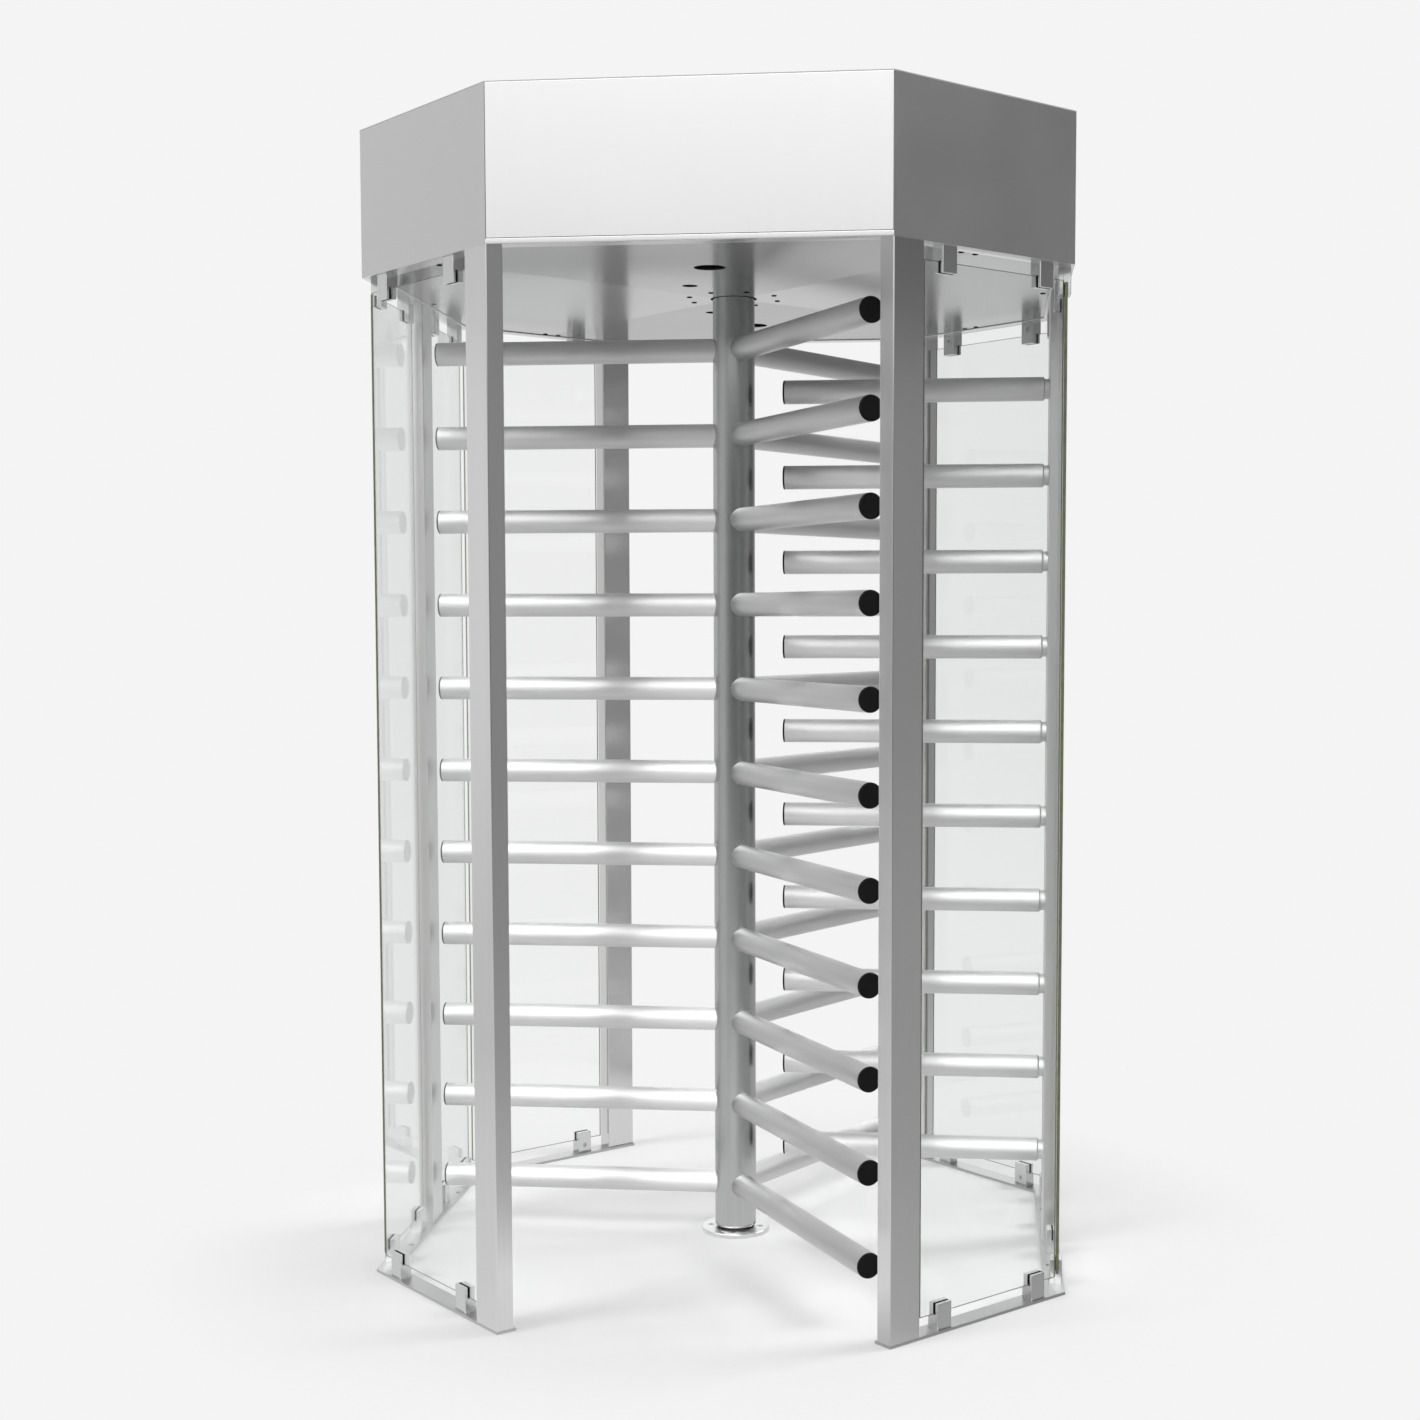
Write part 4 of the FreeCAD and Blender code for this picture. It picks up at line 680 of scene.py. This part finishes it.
def make_control_box(materials):
    """Control box with its overhanging lid, lid screws and cable glands."""
    (x0, y0, z0), (x1, y1, z1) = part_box("control_box")
    overhang, rounding, inset = 0.0025, 0.003, 0.012
    wall_top, lid_bottom, lid_top = z1 - 0.014, z1 - 0.0135, z1 - 0.001
    wall = y1 - overhang
    bm = box_between((x0 + overhang, y0 + overhang, z0), (x1 - overhang, wall, wall_top), rounding, 3)
    added(bm, box_between((x0, y0, lid_bottom), (x1, y1, lid_top), rounding, 3))
    # The lid screws' socket floors take the black of the glands: painted shade in the sockets.
    screw = countersunk(head=4.5, shank=2.5, length=8.0, socket=1.6, depth=1.6)
    up = Matrix.Rotation(-math.pi / 2, 4, "Y")
    corners = [(x, y) for x in (x0 + inset, x1 - inset) for y in (y0 + inset, y1 - inset)]
    added(bm, repeated(screw, [Matrix.Translation((x, y, z1)) @ up for x, y in corners]))
    gland_height = (z0 + z1) / 2 - 0.008
    sideways = Matrix.Rotation(math.pi / 2, 4, "Z")
    glands = [Matrix.Translation((x, wall, gland_height)) @ sideways for x in GLAND_PLACES]
    before = len(bm.faces)
    added(bm, repeated(spun(GLAND_PROFILE, 24), glands))
    bm.faces.ensure_lookup_table()
    for face in bm.faces[before:]:
        face.material_index = 1
    smoothed(bm)
    new_piece("control_box_lidded", bm, "frame", [materials["paint"], materials["cap"]],
              ["control_box"])


def make_power_supply(materials):
    """Power supply with a cover of rows of slots, whose floors are painted shade."""
    (x0, y0, z0), (x1, y1, z1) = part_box("power_supply")
    rounding, cover_rise, cover_thickness, rib, slot_depth = 0.002, 0.002, 0.0025, 0.0042, 0.0016
    bm = box_between((x0, y0, z0), (x1, y1, z1 - cover_rise), rounding)
    cover = bmesh.new()
    middle = Matrix.Translation(((x0 + x1) / 2, (y0 + y1) / 2, z1))
    half_size = Matrix.Diagonal(((x1 - x0) * 0.46, (y1 - y0) * 0.42, 1.0, 1.0))
    bmesh.ops.create_grid(cover, x_segments=20, y_segments=4, size=1.0, matrix=middle @ half_size)
    made = bmesh.ops.extrude_face_region(cover, geom=cover.faces[:] + cover.edges[:])["geom"]
    lower = [item for item in made if isinstance(item, bmesh.types.BMVert)]
    bmesh.ops.translate(cover, verts=lower, vec=(0.0, 0.0, -cover_thickness))
    bmesh.ops.recalc_face_normals(cover, faces=cover.faces)
    slots = [face for face in cover.faces if face.normal.z > 0.9]
    bmesh.ops.inset_individual(cover, faces=slots, thickness=rib, depth=0.0)
    sunk = list({vert for face in slots for vert in face.verts})
    bmesh.ops.translate(cover, verts=sunk, vec=(0.0, 0.0, -slot_depth))
    # The slot floors take a matte black without sheen: painted shade for open slots.
    for face in slots:
        face.material_index = 1
    added(bm, cover)
    smoothed(bm)
    new_piece("power_supply_vented", bm, "frame",
              [materials["cap"], materials["black_screw"]], ["power_supply"])


def make_panes(materials):
    """Panes with ground edges, whose narrow faces show the glass's own colour."""
    for node in ("glass_corner_panes", "glass_side_panes"):
        bm = merged_copy(node)
        eased(bm, width=0.7 * MM, shortest=1.0 * MM, segments=1)
        widest = max(face.calc_area() for face in bm.faces)
        for face in bm.faces:
            face.material_index = 0 if face.calc_area() > widest / 2 else 1
        new_piece(node + "_ground", bm, "frame", [materials["glass"], materials["glass_edge"]],
                  [node])


# Finishes. A grain is the size of its grooves along X, Y and Z, in metres.
VERTICAL = (0.0007, 0.0007, 0.30)
LENGTHWISE = (0.25, 0.0006, 0.0006)
CROSSWISE = (0.0007, 0.25, 0.0007)
CLAMP_GRAIN = (0.0005, 0.0005, 0.04)
STEEL = (0.787, 0.787, 0.787, 1.0)

# How bright each set of tubes and each sector of the ceiling is: one steel, lighter or darker by painted
# light and shade. Each sector also gives the turn of its grain.
PAINTED_BAR_LEVELS = {"wing_a": 0.73, "wing_b": 0.66, "wing_c": 0.73, "comb_bars": 0.78}
PAINTED_CEILING_SECTORS = {"ceiling_front": (0.49, 0.0), "ceiling_right": (0.44, 90.0),
                   "ceiling_rear": (0.41, 0.0), "ceiling_left": (0.43, 90.0)}

FINISHES = {
    "sheet": (brushed, dict(colour=STEEL, roughness=0.25, grain=VERTICAL, groove=0.000003, streak=0.008)),
    "roof": (brushed, dict(colour=(0.46, 0.465, 0.47, 1.0), roughness=0.6, grain=LENGTHWISE,
                           groove=0.000004, streak=0.03, across=0.3, metallic=0.1)),
    "post": (brushed, dict(colour=STEEL, roughness=0.17, grain=VERTICAL, groove=0.000002, streak=0.012,
                           across=0.5)),
    "side_post": (brushed, dict(colour=STEEL, roughness=0.42, grain=VERTICAL, groove=0.000002,
                                streak=0.012, across=0.0)),
    "column": (brushed, dict(colour=(0.54, 0.545, 0.55, 1.0), roughness=0.23, grain=VERTICAL,
                             groove=0.000004, streak=0.03)),
    "base": (brushed, dict(colour=(0.58, 0.585, 0.585, 1.0), roughness=0.3, grain=CROSSWISE,
                           groove=0.000002, streak=0.02)),
    "flange": (turned_metal, dict(colour=(0.80, 0.805, 0.81, 1.0), roughness=0.3)),
    "clamp": (brushed, dict(colour=(0.74, 0.745, 0.75, 1.0), roughness=0.22, grain=CLAMP_GRAIN,
                            groove=0.000002, streak=0.02, across=0.3)),
    "screw": (turned_metal, dict(colour=(0.42, 0.425, 0.43, 1.0), roughness=0.32)),
    "black_screw": (moulded, dict(colour=(0.006, 0.006, 0.007, 1.0), roughness=0.6, gloss=0.0)),
    "clamp_screw": (turned_metal, dict(colour=(0.60, 0.605, 0.61, 1.0), roughness=0.3)),
    "plate": (turned_metal, dict(colour=(0.03, 0.03, 0.032, 1.0), roughness=0.5)),
    "machined": (turned_metal, dict(colour=(0.56, 0.57, 0.57, 1.0), roughness=0.33)),
    "bronze": (turned_metal, dict(colour=(0.45, 0.27, 0.12, 1.0), roughness=0.35)),
    "ring": (moulded, dict(colour=(0.012, 0.012, 0.013, 1.0), roughness=0.5)),
    "cap": (moulded, dict(colour=grey(0.005), roughness=0.5, gloss=0.2)),
    "rubber": (moulded, dict(colour=grey(0.004), roughness=0.8, gloss=0.1)),
    "lamp": (moulded, dict(colour=grey(0.005), roughness=0.6, gloss=0.0)),
    "coil": (moulded, dict(colour=(0.03, 0.035, 0.045, 1.0), roughness=0.5)),
    "paint": (painted, dict(colour=(0.33, 0.34, 0.35, 1.0), roughness=0.45)),
    "glass": (clear_glass, {}),
    "glass_edge": (glass_edge, {}),
}

# The finish of the CAD nodes whose names begin so. The longest match counts, and the rest are machined.
NODE_FINISHES = {
    "post": "post", "post_side": "side_post", "base": "base", "foot_flange": "base",
    "foot_screws": "screw", "thrust_ring": "ring", "foot_bush": "bronze", "header_frame": "paint",
    "header": "sheet", "roof": "roof", "sheet_screws": "screw", "cap_screws": "screw",
    "cable": "rubber", "ceiling_lamps": "lamp", "presence": "lamp", "control": "paint", "power": "cap",
    "clamp": "clamp", "clamp_gaskets": "rubber", "clamp_screws": "screw", "rotor_column": "column",
    "solenoids": "coil", "wing_caps": "cap", "comb_caps": "cap", "glass": "glass",
    "drive_plate": "plate", "bearing_housing": "plate",
}


def tube_finish(node):
    """Polished tube, brushed along its length, at its set's level of painted light and shade."""
    return new_material("bar_" + node, brushed, colour=grey(PAINTED_BAR_LEVELS[node]), roughness=0.35,
                        grain=LENGTHWISE, turn=WING_ANGLES.get(node, 0.0), groove=0.000001, streak=0.02,
                        across=1.0)


def ceiling_finish(node):
    """Ceiling sheet, its grain along the sector's own wall, at the sector's level of painted light and
    shade.
    """
    level, turn = PAINTED_CEILING_SECTORS[node]
    return new_material(node + "_sheet", brushed, colour=(level, level, level * 1.01, 1.0), roughness=0.2,
                        grain=LENGTHWISE, turn=turn, groove=0.000001, streak=0.03, across=0.6)


def finish_nodes(materials):
    """Gives every CAD node its finish."""
    for node, thing in NODES.items():
        if node in PAINTED_BAR_LEVELS:
            made = tube_finish(node)
        elif node in PAINTED_CEILING_SECTORS:
            made = ceiling_finish(node)
        else:
            keys = [key for key in NODE_FINISHES if node.startswith(key)]
            made = materials[NODE_FINISHES[max(keys, key=len)] if keys else "machined"]
        for slot in thing.material_slots:
            slot.material = made


def main():
    make_camera()
    make_lamps()
    make_world()
    make_floor()
    materials = {name: new_material(name, surface, **details)
                 for name, (surface, details) in FINISHES.items()}
    finish_nodes(materials)
    make_eased_pieces(materials)
    make_screws(materials)
    make_fittings(materials)
    make_control_box(materials)
    make_power_supply(materials)
    make_panes(materials)
    make_caps(materials)


main()
bpy.context.scene.view_settings.view_transform = "Standard"
